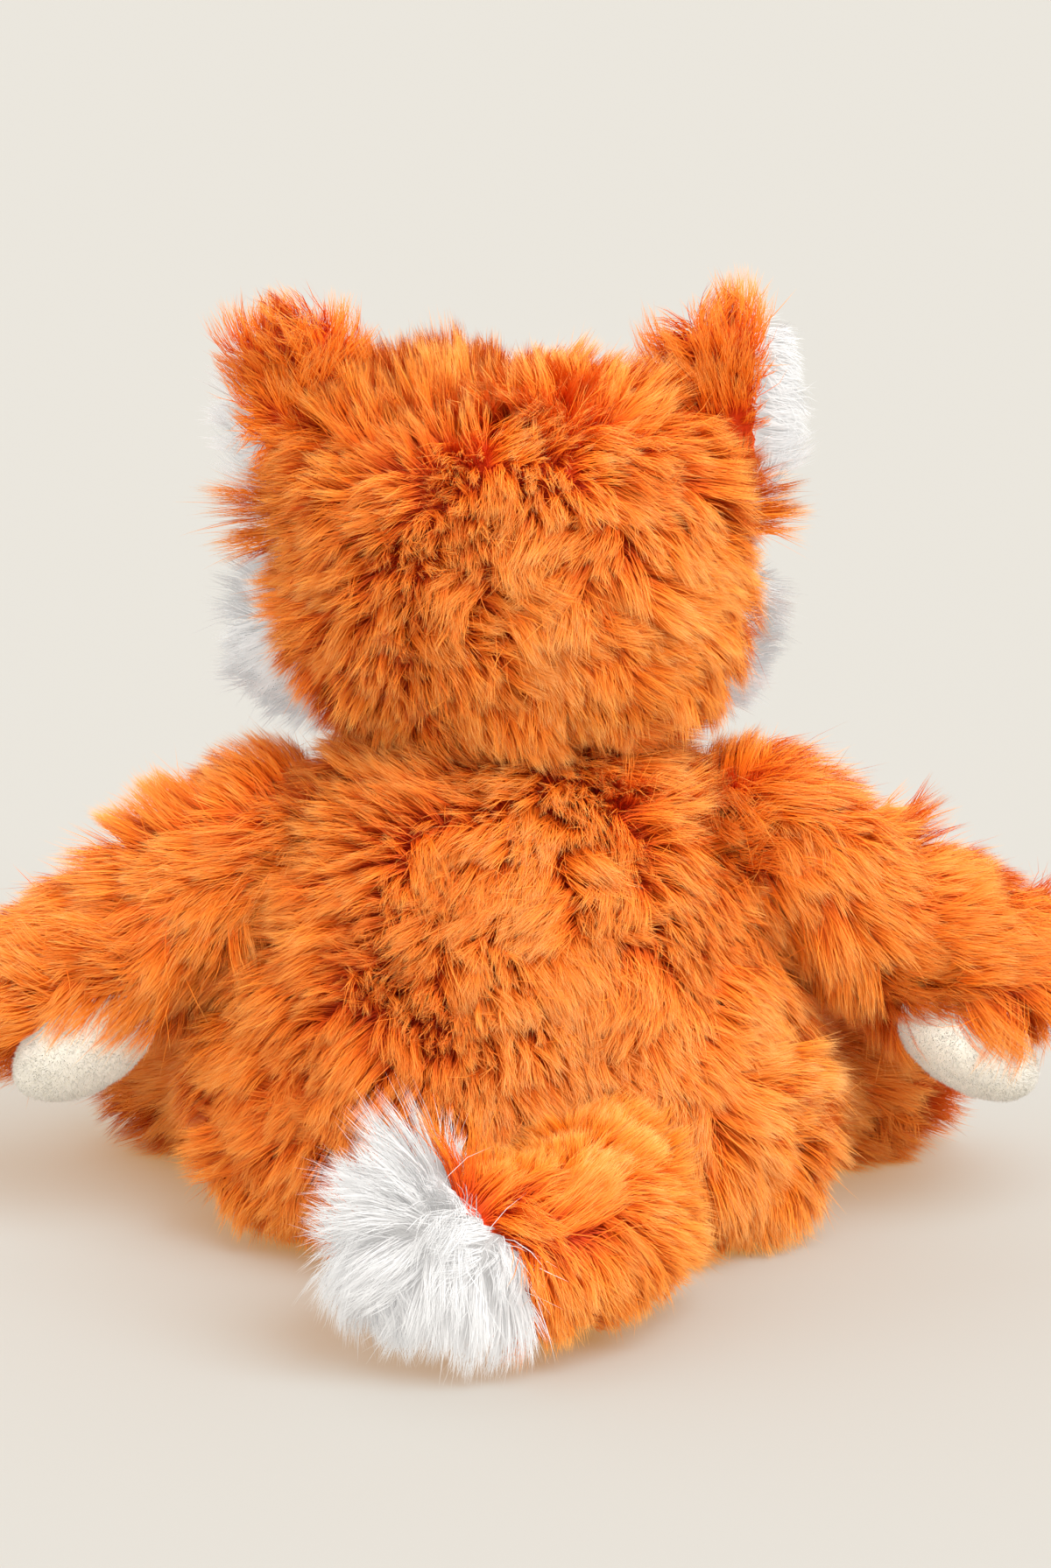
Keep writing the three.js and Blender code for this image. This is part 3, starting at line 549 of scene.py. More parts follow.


# Along each strand: darker and redder towards the root, which is painted shade deep in the pile, and paler
# towards the tip. From strand to strand: low shades deeper, high shades paler and pinker, and the torso and
# head take their painted sheen and shade from these.
ORANGE = fur_material(
    "orange_fur",
    [(0, (0.76, 0.06, 0.001)), (0.25, (0.9, 0.13, 0.003)), (0.62, (0.97, 0.255, 0.014)),
     (0.85, (1, 0.38, 0.07)), (1, (1, 0.6, 0.24))],
    [(0, (0.86, 0.54, 0.24)), (0.45, (0.97, 0.85, 0.58)), (1, (1, 1, 1))],
    (1, 0.45, 0.18),
    sheen=0.1,
)
# Darker towards the root, which is painted shade deep in the pile; the glow is painted light that lifts the
# shade between the strands.
WHITE = fur_material(
    "white_fur",
    [(0, (0.58, 0.565, 0.55)), (0.4, (0.605, 0.598, 0.592)), (1, (0.635, 0.635, 0.635))],
    [(0, (0.96, 0.955, 0.95)), (0.5, (0.99, 0.99, 0.99)), (1, (1, 1, 1))],
    (1, 0.985, 0.97),
    sheen=0.25,
    glow=0.24,
)
# A little darker towards the root, as painted shade; the glow is painted light that lifts the shade the pads
# lie in under the paws.
CREAM = fur_material(
    "cream_pile",
    [(0, (0.85, 0.81, 0.73)), (1, (0.89, 0.865, 0.81))],
    [(0, (0.97, 0.96, 0.94)), (1, (1, 1, 1))],
    (1, 0.93, 0.8),
    sheen=0.2,
    glow=0.24,
)
FABRICS = {"orange_fur": ORANGE, "white_fur": WHITE, "cream_pile": CREAM}


def speckled_material(name, base, dark, grain, roughness, bump_height, coat=0.0):
    """A base colour that grain darkens a little, with a fine bump."""
    material, nodes, links, shader = material_with_nodes(name)
    place = nodes.new("ShaderNodeTexCoord")
    noise = nodes.new("ShaderNodeTexNoise")
    set_inputs(noise, {"Scale": grain, "Detail": 3})
    links.new(place.outputs["Object"], noise.inputs["Vector"])
    ramp = ramp_node(nodes, [(0.35, dark), (0.65, base)])
    links.new(noise.outputs[0], ramp.inputs[0])
    links.new(ramp.outputs[0], shader.inputs["Base Color"])
    relief = nodes.new("ShaderNodeBump")
    set_inputs(relief, {"Distance": bump_height, "Strength": 0.5})
    links.new(noise.outputs[0], relief.inputs["Height"])
    links.new(relief.outputs[0], shader.inputs["Normal"])
    set_inputs(shader, {"Roughness": roughness, "Coat Weight": coat})
    return material


FILLING = speckled_material("fibre_fill", (0.9, 0.9, 0.88), (0.74, 0.74, 0.72), 420, 0.9, 0.0006)
BAG_CLOTH = speckled_material("bag_cloth", (0.62, 0.57, 0.48), (0.5, 0.45, 0.37), 900, 0.85, 0.0002)
NEAR_BLACK, BLACK = (0.006, 0.005, 0.004), (0.003, 0.0025, 0.002)
GLOSS = speckled_material("black_gloss", NEAR_BLACK, BLACK, 300, 0.1, 0.00001, coat=0.2)
WASHER = speckled_material("washer_plastic", (0.8, 0.8, 0.78), (0.74, 0.74, 0.72), 260, 0.4, 0.00003)


# Which way the pile lies


def clock(degrees):
    """A direction seen from behind: 0 is up, 90 is to the viewer's right, which is the fox's right."""
    angle = np.radians(degrees)
    return rows(-np.sin(angle), 0, np.cos(angle))


def guided(points, guides, reach):
    """The comb, lean and length share that listed guides give at each point.

    A guide is (right, up, clock direction, lean, length share), in millimetres and degrees."""
    table = np.array(guides, float)
    places = table[:, :2] * MM
    seen = np.stack([-points[:, 0], points[:, 2]], axis=1)
    gap = np.sum((seen[:, None] - places[None]) ** 2, axis=2)
    weights = np.exp(-gap / (2 * reach**2)) + 1e-9
    weights /= weights.sum(axis=1, keepdims=True)
    return weights @ clock(table[:, 2]), weights @ table[:, 3], weights @ table[:, 4]


def mixed(share, first, second):
    """Two combs' results, mixed by share: 0 is the first and 1 the second."""
    wide = share[:, None]
    comb = unit(first[0]) * (1 - wide) + unit(second[0]) * wide
    return comb, first[1] * (1 - share) + second[1] * share, first[2] * (1 - share) + second[2] * share


# Torso

TORSO_HALF = (0.080, 0.061)
TORSO_HEIGHT = 0.127
TORSO_SHARES = [
    (0, 0, 0), (0, 0.64, 0.64), (0.024, 0.775, 0.77), (0.08, 0.91, 0.9),
    (0.17, 0.985, 0.985), (0.28, 1, 1), (0.4, 0.975, 0.975), (0.53, 0.925, 0.93),
    (0.66, 0.865, 0.87), (0.785, 0.785, 0.79), (0.88, 0.69, 0.7), (0.955, 0.57, 0.6),
    (1.03, 0.45, 0.5), (1.1, 0.3, 0.34), (1.13, 0, 0),
]  # height, width and depth of each ring, with the neck on top
SIDE_SEAM = -0.005
TORSO_SQUARENESS = 2.15

torso_size = TORSO_HALF, (0, TORSO_HEIGHT), AXES, np.zeros(3), TORSO_SQUARENESS
torso = ring_form(TORSO_SHARES, *torso_size, lumps=0.0022, wavelength=0.06)

TORSO_GUIDE_REACH = 0.0125
TORSO_GUIDES = [
    (-60, 128, 330, 22, 1.1), (-44, 116, 300, 26, 1.05), (-20, 127, 330, 25, 1.1), (10, 127, 10, 25, 1.1),
    (-46, 100, 250, 16, 0.9), (-30, 94, 190, 36, 0.95), (-15, 84, 160, 46, 1), (-24, 68, 180, 18, 0.9),
    (-34, 62, 200, 18, 0.9), (-5, 72, 185, 45, 1), (4, 114, 200, 60, 1.05), (-6, 100, 205, 60, 1),
    (10, 105, 160, 62, 1.05), (6, 78, 172, 50, 1), (12, 68, 175, 58, 1), (26, 114, 205, 42, 0.95),
    (40, 126, 60, 28, 1.1), (55, 122, 50, 26, 1.3), (71, 112, 70, 34, 1.3), (75, 90, 97, 60, 1.2),
    (76, 80, 118, 62, 1.2), (53, 96, 78, 58, 1.1), (40, 92, 185, 48, 1), (48, 74, 140, 56, 1.05),
    (35, 68, 152, 56, 1), (66, 60, 130, 60, 1.15), (48, 48, 155, 58, 1.05), (72, 38, 128, 52, 1.5),
    (26, 44, 162, 55, 1), (62, 14, 150, 52, 1.25), (-64, 100, 215, 52, 1), (-66, 76, 205, 58, 1),
    (-57, 58, 196, 58, 0.95), (-64, 42, 202, 58, 0.95), (-76, 30, 206, 58, 0.95), (-46, 18, 190, 56, 0.95),
    (-10, 20, 182, 55, 1),
]


def torso_comb(points, normals):
    x, y, z = points.T
    sideways = 0.5 * np.sign(x) * step(np.abs(x), 0, 0.03)
    down = rows(sideways, 0, -1), 55, 1
    lying = mixed(step(y, -0.02, 0.02), down, guided(points, TORSO_GUIDES, TORSO_GUIDE_REACH))
    under = step(-normals[:, 2], 0.75, 0.95)
    return mixed(under, lying, (rows(x, y, 0), 80, 0.35))


def torso_painted_light(points):
    """Lighter down the middle of the back and low on its right, as a painted sheen, and darker on its left,
    as painted shade on the side away from the key light.
    """
    right, up = -points[:, 0], points[:, 2]
    light = bump(right, 0.008, 0.022) + step(right, 0.015, 0.04) * (1 - step(up, 0.06, 0.085))
    return 0.26 * light - 0.2 * step(-right, 0.012, 0.03) - 0.04


BIB_HALF = (0.040, 0.046)
BIB_HEIGHT = 0.066
SEAT_HALF = (0.046, 0.035)
SEAT_LEVEL = 0.006


def in_seat(points):
    round_seat = (points[:, 0] / SEAT_HALF[0]) ** 2 + (points[:, 1] / SEAT_HALF[1]) ** 2
    return (points[:, 2] < SEAT_LEVEL) & (round_seat < 1)


def in_bib(points):
    across = points[:, 0] / BIB_HALF[0]
    up = (points[:, 2] - BIB_HEIGHT) / BIB_HALF[1]
    return (points[:, 1] <= SIDE_SEAM) & (across**2 + up**2 < 1)


def on_flanks(points):
    return (points[:, 1] <= SIDE_SEAM) & ~in_bib(points) & ~in_seat(points)


def behind_left(points):
    return (points[:, 1] > SIDE_SEAM) & (points[:, 0] >= 0) & ~in_seat(points)


def behind_right(points):
    return (points[:, 1] > SIDE_SEAM) & (points[:, 0] < 0) & ~in_seat(points)


# Head

HEAD_HALF = (0.060, 0.053)
HEAD_HALF_HEIGHT = 0.051
HEAD_SHARES = [
    (-1, 0, 0), (-0.97, 0.56, 0.52), (-0.85, 0.8, 0.76), (-0.6, 0.93, 0.92),
    (-0.3, 0.99, 0.99), (0, 1, 1), (0.3, 0.985, 0.98), (0.58, 0.91, 0.9),
    (0.8, 0.77, 0.75), (0.94, 0.54, 0.5), (1, 0, 0),
]  # height, width and depth of each ring
HEAD_SQUARENESS = 2.3
HEAD_PILE_DEPTH = 0.0115
head_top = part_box("head_back_left")[1].z
head_middle = head_top - HEAD_HALF_HEIGHT
lip_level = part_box("face_lower")[1].z

head_size = HEAD_HALF, (head_middle, head_top), AXES, np.zeros(3), HEAD_SQUARENESS
head = ring_form(HEAD_SHARES, *head_size, lumps=0.0018, depth=HEAD_PILE_DEPTH, floor=False)

HEAD_GUIDE_REACH = 0.0115
HEAD_GUIDES = [
    (-58, 206, 240, 30, 0.9), (-42, 220, 235, 34, 0.95), (-30, 226, 300, 45, 0.9), (-14, 228, 310, 40, 1.1),
    (-6, 222, 200, 22, 0.9), (8, 228, 285, 38, 1.05), (22, 229, 48, 42, 1.05), (-19, 210, 200, 14, 0.85),
    (-6, 205, 130, 17, 0.85), (-35, 196, 210, 14, 0.85), (-46, 182, 230, 14, 0.85), (-28, 187, 186, 40, 0.9),
    (-15, 187, 122, 45, 0.95), (-6, 168, 116, 50, 1), (-30, 168, 112, 36, 0.95), (-55, 168, 278, 30, 1.25),
    (-42, 150, 165, 34, 0.75), (-19, 150, 132, 38, 0.8), (8, 219, 205, 38, 0.9), (10, 201, 196, 55, 0.9),
    (8, 178, 165, 55, 0.95), (12, 154, 180, 52, 0.8), (26, 205, 180, 17, 0.9), (19, 196, 222, 50, 0.95),
    (40, 192, 110, 55, 1.05), (53, 182, 118, 60, 1.1), (33, 173, 150, 55, 1.05), (48, 164, 140, 60, 1.1),
    (26, 154, 120, 48, 0.8), (58, 206, 172, 55, 0.95), (40, 220, 60, 40, 0.95),
]
TEMPLE = (-0.004, 0.188)  # depth and height of the tuft at each temple
TEMPLE_REACH = (0.015, 0.0105)
CROWN_TUFT = (0.021, 0.024)  # how far left the crown's standing tuft is, and its reach


def head_comb(points, normals):
    x, y, z = points.T
    crown = step(z, head_middle + 0.03, head_top)
    face = rows(1.1 * np.sign(x) * step(np.abs(x), 0, 0.02), 0.5, crown - 0.35)
    short = 0.55 + 0.35 * step(np.abs(x), 0.03, 0.055)
    front = face, 50 - 15 * crown, short + 0.3 * crown
    lying = mixed(step(y, -0.03, 0.005), front, guided(points, HEAD_GUIDES, HEAD_GUIDE_REACH))

    on_top = step(normals[:, 2], 0.55, 0.85) * bump(x, *CROWN_TUFT) * step(y, -0.035, -0.01)
    crowned = mixed(step(on_top, 0.1, 0.4), lying, (rows(0.3, 0.1, 1), 14, 1.03))

    temple = bump(y, TEMPLE[0], TEMPLE_REACH[0]) * bump(z, TEMPLE[1], TEMPLE_REACH[1])
    temple = temple * step(np.abs(x), 0.036, 0.044)
    sticking_out = rows(np.sign(x), 0, 0), 8, 1.48 + 0.12 * np.sign(x)
    return mixed(step(temple, 0.1, 0.4), crowned, sticking_out)


def head_painted_light(points):
    """Lighter in the band down the middle, as a painted sheen, and darker on the left, as painted shade on
    the side away from the key light.
    """
    right = -points[:, 0]
    return 0.2 * bump(right, 0.01, 0.016) - 0.16 * step(-right, 0, 0.02)


def above_lip(points):
    return (points[:, 1] <= SIDE_SEAM) & (points[:, 2] > lip_level)


def below_lip(points):
    return (points[:, 1] <= SIDE_SEAM) & (points[:, 2] <= lip_level)


def everywhere(points):
    return np.ones(len(points), bool)


# Cheeks and snout

CHEEK_RADII = (0.027, 0.026, 0.029)
CHEEK_PILE_DEPTH = 0.014
CHEEK_LIFT = 0.003
CHEEK_TUCK = {"left": 0.001, "right": 0.004}  # the right cheek lies closer to the head
SNOUT_HALF = (0.025, 0.020)
SNOUT_PILE_DEPTH = 0.004
SNOUT_SHARES = [(0, 0, 0), (0.01, 1, 1), (0.5, 0.98, 0.98), (0.7, 0.85, 0.85), (0.86, 0.64, 0.64)]
SNOUT_SHARES += [(0.96, 0.4, 0.4), (1, 0, 0)]  # length, width and height of each ring
snout_low, snout_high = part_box("muzzle")
snout_middle = (snout_low.z + snout_high.z) / 2

DOME_SHARES = [(-math.cos(a), math.sin(a), math.sin(a)) for a in np.linspace(0, math.pi, 13)]


def dome_form(centre, radii, axes=AXES, **form):
    """A round form with the last radius along the last axis."""
    return ring_form(DOME_SHARES, radii[:2], (0, radii[2]), axes, np.array(centre), 2, **form)


snout_span, snout_axes = (-HEAD_HALF[1] / 2, snout_low.y), (X_AXIS, Z_AXIS, Y_AXIS)
snout_size = SNOUT_HALF, snout_span, snout_axes, Z_AXIS * snout_middle, 2
snout = ring_form(SNOUT_SHARES, *snout_size, depth=SNOUT_PILE_DEPTH, floor=False)


def snout_comb(points, normals):
    x, y, z = points.T
    return rows(0.3 * np.sign(x), 1, -0.35), 62, 1 - 0.45 * step(y, -0.06, snout_low.y)


cheek_low, cheek_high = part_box("cheek_left")
cheek_middle = (cheek_low.z + cheek_high.z) / 2


def cheek_comb(points, normals):
    x, y, z = points.T
    fan = (z - cheek_middle) / CHEEK_RADII[2]
    low = step(-fan, 0, 0.8)
    return rows(0.8 * np.sign(x), 0.6, -0.12 + 0.6 * fan), 46 + 12 * low, 0.88 - 0.25 * low - 0.12 * (x < 0)


# Ears

EAR_OUTER_EDGE = [(0.054, 0.172), (0.0635, 0.190), (0.070, 0.208)]  # across and up, from inside the head
EAR_INNER_EDGE = [(0.030, 0.205), (0.0345, 0.216), (0.037, 0.225), (0.0385, 0.2285)]
EAR_WIDEST = 0.228  # the height at which the outer edge reaches the ear's box
EAR_THICKNESS, EAR_CORE_THICKNESS = 0.0055, 0.0018  # half of each
EAR_CORE_INSET = 0.003
EAR_MIDDLE, EAR_CUP_HALF = 0.054, 0.016
EAR_CUP = 0.004  # how far forward the edges curl
EAR_SETBACK = 0.0015
EAR_SPLIT = 0.0012  # how far the orange back comes round the rim
EAR_BACK_REACH = (0.0730, 0.0615)  # how far out each ear's orange goes, the fox's left ear first
EAR_ROWS = 30
EAR_FILL = 0.3


def ear_rings(side, thickness, inset):
    """Rings across a leaf-shaped ear, from inside the head up to its rounded tip."""
    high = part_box("ear_back_left")[1]
    middle_y = (high.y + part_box("ear_lining_left")[0].y) / 2
    outer = curve_through([*EAR_OUTER_EDGE, (high.x, EAR_WIDEST)], EAR_ROWS)
    inner = curve_through(EAR_INNER_EDGE, EAR_ROWS)
    sections = [(left, right, 1.0) for left, right in zip(outer, inner)]
    cap_height = high.z - EAR_INNER_EDGE[-1][1]
    for turn in np.linspace(0, math.pi / 2, 8)[1:-1]:
        up = np.array((0, cap_height * math.sin(turn)))
        sections.append((outer[-1] + up, inner[-1] + up, math.cos(turn)))
    angle = np.linspace(0, 2 * math.pi, 48, endpoint=False)
    across = np.cos(angle)[:, None]
    cup = -EAR_CUP * across[:, 0] ** 2
    rings = []
    for left, right, width in sections:
        half = (left - right) / 2 * width
        half = half * max(0.05, 1 - inset / np.linalg.norm(half))
        place = (left + right) / 2 + across * half
        away = thickness * np.sin(angle) * (0.35 + 0.65 * width)
        rings.append(rows(side * place[:, 0], middle_y + EAR_SETBACK + cup + away, place[:, 1]))
    return np.array(rings)


def ear_form(side):
    skin = ear_rings(side, EAR_THICKNESS, 0)
    form = Form(skin, skin[0].mean(axis=0), skin[-1].mean(axis=0), floor=False)
    inner = ear_rings(side, EAR_CORE_THICKNESS, EAR_CORE_INSET)
    form.backing = np.vstack([inner.reshape(-1, 3), inner[0].mean(axis=0), inner[-1].mean(axis=0)])
    return form


def ear_back_side(points):
    """True behind the seam between the ear's back and its lining."""
    x, y, z = points.T
    across = (np.abs(x) - EAR_MIDDLE) / EAR_CUP_HALF
    top = step(z, 0.216, 0.228)
    outer = step(np.abs(x), 0.058, 0.066) * (1 - top)
    seam = -EAR_CUP * across**2 - EAR_SPLIT * (1 - outer) * (1 + 2 * top)
    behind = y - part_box("ear_back_left")[0].y - EAR_SETBACK > seam
    return behind & (np.abs(x) < np.where(x > 0, *EAR_BACK_REACH))


def ear_front_side(points):
    return ~ear_back_side(points)


def ear_back_comb(points, normals):
    x, y, z = points.T
    up = step(z, 0.205, 0.224)
    edge = step(np.abs(x), 0.056, 0.068)
    inward = 0.75 * (x < 0) * (1 - step(np.abs(x), 0.042, 0.056))
    outward = 0.2 * (1 - up) * (x > 0) - inward
    rise = 0.95 * up - 0.5 * edge * (1 - up) + 0.25 * inward
    short = 0.2 * edge * (1 - up) + 0.15 * (x < 0) * edge
    comb = rows(np.sign(x) * outward, 0.1, rise)
    return comb, 62 - 18 * up, 0.82 + 0.22 * up - short


def ear_front_comb(points, normals):
    x, y, z = points.T
    top = step(z, 0.222, 0.234)
    comb = rows(np.sign(x), 0.1, -0.1 - 0.6 * top)
    outer = step(np.abs(x), 0.048, 0.062)
    low = 1 - step(z, 0.192, 0.21)
    fringe = (0.08 + 0.15 * low) * outer + 0.08 * (x > 0)
    return comb, 68 - 10 * low, 0.5 + fringe * (1 - 0.7 * top)


# Limbs


def limb_form(path, root_radius, end_radius, length, waist, **form):
    """A form with a round root at the path's start and a rounded end."""
    shaft = length - end_radius
    quarter = np.linspace(0, math.pi / 2, 10)
    stations = [(-root_radius * math.cos(a), root_radius * math.sin(a)) for a in quarter[1:]]
    for share in np.linspace(0, 1, 26)[1:]:
        radius = (root_radius * (1 - share) + end_radius * share) * (1 - waist * math.sin(math.pi * share))
        stations.append((shaft * share, radius))
    stations += [(shaft + end_radius * math.sin(a), end_radius * math.cos(a)) for a in quarter[1:-1]]
    rings = []
    for along, radius in stations:
        centre, side, up = path(along)
        rings += list(rings_of([(0, radius, radius)], centre, side, up, 0 * up, 64, 2))
    return Form(np.array(rings), path(-root_radius)[0], path(length)[0], **form)


def straight(pivot, outward):
    return lambda along: (pivot + outward * along, *square_to(outward))


ARM = {"root_radius": 0.024, "end_radius": 0.026, "length": 0.093, "waist": 0.03}
ARM_SLOPE = math.radians(29)
ARM_PILE_DEPTH = 0.012
ARM_ROOT_FULLNESS = 0.004  # how much wider the fur makes the shoulder
ARM_RISE = {"left": (0.003, -0.003), "right": (0.007, 0.003)}  # how much higher its root and its paw lie
SHRUG = {"left": 0, "right": 0.45}  # how much longer the fur on top of each shoulder stands
SHRUG_REACH = {"left": 0.045, "right": 0.07}  # and how far along the arm it does
TOP_LEAN = {"left": 70, "right": 56}  # of the fur on top of the rest of the arm
LEG = {"root_radius": 0.025, "end_radius": 0.026, "length": 0.067, "waist": 0.07}
LEG_SPLAY = {"left": math.radians(42), "right": math.radians(47)}
SIDES = {"left": 1, "right": -1}


def pivot_of(joint):
    return np.array(joints[joint]["pos_m"])


def arm_outward(name):
    return np.array((SIDES[name] * math.cos(ARM_SLOPE), 0, -math.sin(ARM_SLOPE)))


def leg_outward(name):
    splay = LEG_SPLAY[name]
    return np.array((SIDES[name] * math.sin(splay), -math.cos(splay), 0))


def arm_line(name):
    """The start and the direction of an arm's middle line."""
    pivot, outward = pivot_of(f"shoulder_{name}"), arm_outward(name)
    root_rise, paw_rise = ARM_RISE[name]
    return pivot + Z_AXIS * root_rise, unit(outward * ARM["length"] + Z_AXIS * (paw_rise - root_rise))


def arm_comb_of(name):
    pivot, outward = arm_line(name)

    def comb(points, normals):
        from_axis = points - pivot - np.outer((points - pivot) @ outward, outward)
        height = from_axis[:, 2] / ARM["end_radius"]
        top = step(height, 0.35, 0.9)
        shoulder = 1 - step((points - pivot) @ outward, 0.005, SHRUG_REACH[name])
        rise = np.where(height > 0, 0.75 * height * shoulder, 0.9 * height)
        lying = outward + np.outer(rise, Z_AXIS)
        lean = 58 + top * (TOP_LEAN[name] - 60 - 30 * shoulder)
        return lying, lean, 1.05 + 0.1 * (1 - np.abs(height)) + top * (SHRUG[name] * shoulder - 0.2)

    return comb


def leg_comb_of(name):
    outward = leg_outward(name)

    def comb(points, normals):
        sideways = np.array((SIDES[name], 0.3, -0.15))
        behind = step(normals @ sideways, -0.2, 0.5)
        return mixed(behind, (outward - 0.35 * Z_AXIS, 54, 0.95), (sideways, 42, 1.15))

    return comb


# Tail

TAIL_STRAIGHT = 0.022
TAIL_BEND = 0.033
TAIL = {"root_radius": 0.023, "end_radius": 0.026, "length": 0.104, "waist": -0.04}
TAIL_PILE_DEPTH = 0.0105
TAIL_PARTING = (-0.006, 0.018, 0.033)  # where the pile parts, from the tail's middle line
TIP_SEAM_SHARE = 0.627
PARTING_SHARE = 0.66
tail_pivot = pivot_of("tail_wag")


def tail_path(along):
    sink = (TAIL["end_radius"] - tail_pivot[2]) * float(step(along, 0, TAIL_STRAIGHT + TAIL_BEND))
    turn = max(0, along - TAIL_STRAIGHT) / TAIL_BEND
    back = min(along, TAIL_STRAIGHT) + TAIL_BEND * math.sin(turn)
    left = TAIL_BEND * (1 - math.cos(turn))
    side = np.array((-math.cos(turn), math.sin(turn), 0))
    return tail_pivot + np.array((left, back, sink)), side, Z_AXIS


tail_pole = tail_path(PARTING_SHARE * TAIL["length"])[0] + np.array(TAIL_PARTING)
seam_point, seam_side, _ = tail_path(TAIL["length"] * TIP_SEAM_SHARE)
seam_along = np.cross(seam_side, Z_AXIS)


def tail_tip(points):
    """True where the tail is white: furthest at mid height, and less at its top and underneath."""
    height = points[:, 2]
    reach = 0.003 - 0.015 * step(height, 0.028, 0.046) - 0.010 * (1 - step(height, 0.006, 0.018))
    return (points - seam_point) @ seam_along > -reach


def tail_base(points):
    return ~tail_tip(points)


def tail_comb(points, normals):
    away = points - tail_pole
    near = np.linalg.norm(away, axis=1)
    height, white = points[:, 2], tail_tip(points)
    top = step(height, 0.03, 0.042)
    low = 1 - step(height, 0.008, 0.03)
    lean = 52 + 4 * step(near, 0.01, 0.03) - 26 * top * white + 16 * low
    under = 1 - step(height, 0.006, 0.024)
    return unit(away), lean, 1 + top * np.where(white, 0.45, -0.3) - 0.6 * under


# Pads


def pad_frame(outward, side_sign, turn_degrees):
    turn = math.radians(turn_degrees) * side_sign
    side, up = square_to(outward)
    facing = math.sin(turn) * side - math.cos(turn) * up
    return facing, np.cross(facing, outward)


PALM_RADII = (0.0205, 0.0165, 0.0115)
PALM_SINK = 0.0078
PALM_TURN = {"left": 32, "right": 16}  # in degrees, from below round to the back
PALM_ALONG = {"left": 0.067, "right": 0.076}  # from the shoulder to the pad's middle
SOLE_RADII = (0.018, 0.018, 0.008)
SOLE_SINK = 0.003
PAD_PILE_DEPTH = 0.001


def nap(lie):
    """A short pile that lies one way."""

    def comb(points, normals):
        return lie, 52, 1

    shape = {"length": 1.2, "density": 13, "width": 0.14, "tuft": 3, "wisp": 0.5}
    return Pile(comb, gather=0, clump=0, unruly=0.05, softness=1, **shape)


# Dressing

MOST_STRANDS = 37000  # in one piece
NO_QUADS = np.empty((0, 4), int)


def declare(piece, body, node):
    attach(piece, body)
    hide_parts(node)


def dress(name, form, strands, mask, body, slot_name, node):
    """A fur panel: the fabric and the strands whose roots the mask holds, in bands of height."""
    heights = strands["root"][mask(strands["root"])][:, 2]
    bands = math.ceil(len(heights) / MOST_STRANDS)
    levels = [-1, *np.quantile(heights, np.arange(1, bands) / bands), 1]
    for number, (low, high) in enumerate(zip(levels, levels[1:]), 1):

        def in_band(points):
            return mask(points) & (points[:, 2] > low) & (points[:, 2] <= high)

        blocks = [fabric(form, in_band, SEED), ribbons(pick(strands, in_band(strands["root"])))]
        piece = mesh_from(name if bands == 1 else f"{name}_{number}", blocks, FABRICS[slot_name])
        declare(piece, body, node)


def cover(name, form, pile, seed, body, slot_name, node, mask=everywhere, skip=(), pads=(), fill=0.7):
    """A fur panel with strands of its own."""
    dress(name, form, strands_of(form, pile, SEED + seed, skip, pads), mask, body, slot_name, node)


def dress_torso(skip):
    strands = strands_of(torso, Pile(torso_comb, tone=torso_painted_light), SEED + 10, skip)
    dress("torso_back_left_fur", torso, strands, behind_left, "torso", "orange_fur", "torso_back_left")
    dress("torso_back_right_fur", torso, strands, behind_right, "torso", "orange_fur", "torso_back_right")
    dress("belly_flank_fur", torso, strands, on_flanks, "torso", "orange_fur", "torso_belly")
    dress("belly_bib_fur", torso, strands, in_bib, "torso", "white_fur", "torso_belly")
    dress("seat_fur", torso, strands, in_seat, "torso", "orange_fur", "torso_seat")


def dress_head(skip):
    strands = strands_of(head, Pile(head_comb, tuft=5.8, tone=head_painted_light), SEED + 20, skip)
    dress("head_back_left_fur", head, strands, behind_left, "head", "orange_fur", "head_back_left")
    dress("head_back_right_fur", head, strands, behind_right, "head", "orange_fur", "head_back_right")
    dress("face_upper_fur", head, strands, above_lip, "head", "orange_fur", "face_upper")
    dress("face_lower_fur", head, strands, below_lip, "head", "white_fur", "face_lower")
    pile = Pile(snout_comb, length=9, density=4, tuft=4, wisp=1.5, width=0.25)
    cover("muzzle_fur", snout, pile, 25, "head", "white_fur", "muzzle")


def dress_cheek(name, side):
    node = f"cheek_{name}"
    pile = Pile(cheek_comb, length=22, tuft=7, gather=0.42, softness=0.85)
    cover(f"{node}_fur", cheeks[name], pile, 30 + side, "head", "white_fur", node, skip=[head])


def dress_ear(name, side):
    body, rest = f"ear_{name}", {"skip": [head], "fill": EAR_FILL}
    back, lining = f"ear_back_{name}", f"ear_lining_{name}"
    pile = Pile(ear_back_comb, length=17, tuft=6, density=3.4)
    cover(f"{back}_fur", ears[name], pile, 40 + side, body, "orange_fur", back, ear_back_side, **rest)
    pile = Pile(ear_front_comb, length=22, tuft=6, density=3.6, softness=0.85)
    cover(f"{lining}_fur", ears[name], pile, 44 + side, body, "white_fur", lining, ear_front_side, **rest)


def dress_arm(name, side):
    body, node, (shoulder, outward) = f"arm_{name}", f"palm_pad_{name}", arm_line(name)
    facing, across = pad_frame(outward, side, PALM_TURN[name])
    centre = shoulder + outward * PALM_ALONG[name] + facing * (ARM["end_radius"] - PALM_SINK)
    palm_axes = (outward, across, facing)
    palm = dome_form(centre, PALM_RADII, palm_axes, depth=PAD_PILE_DEPTH, floor=False)
    pile, rest = Pile(arm_comb_of(name), length=21), {"skip": [torso], "pads": [palm]}
    cover(f"{body}_fur", arms[name], pile, 50 + side, body, "orange_fur", f"arm_fur_{name}", **rest)
    cover(f"palm_{name}_nap", palm, nap(outward), 60 + side, body, "cream_pile", node, skip=[arms[name]])


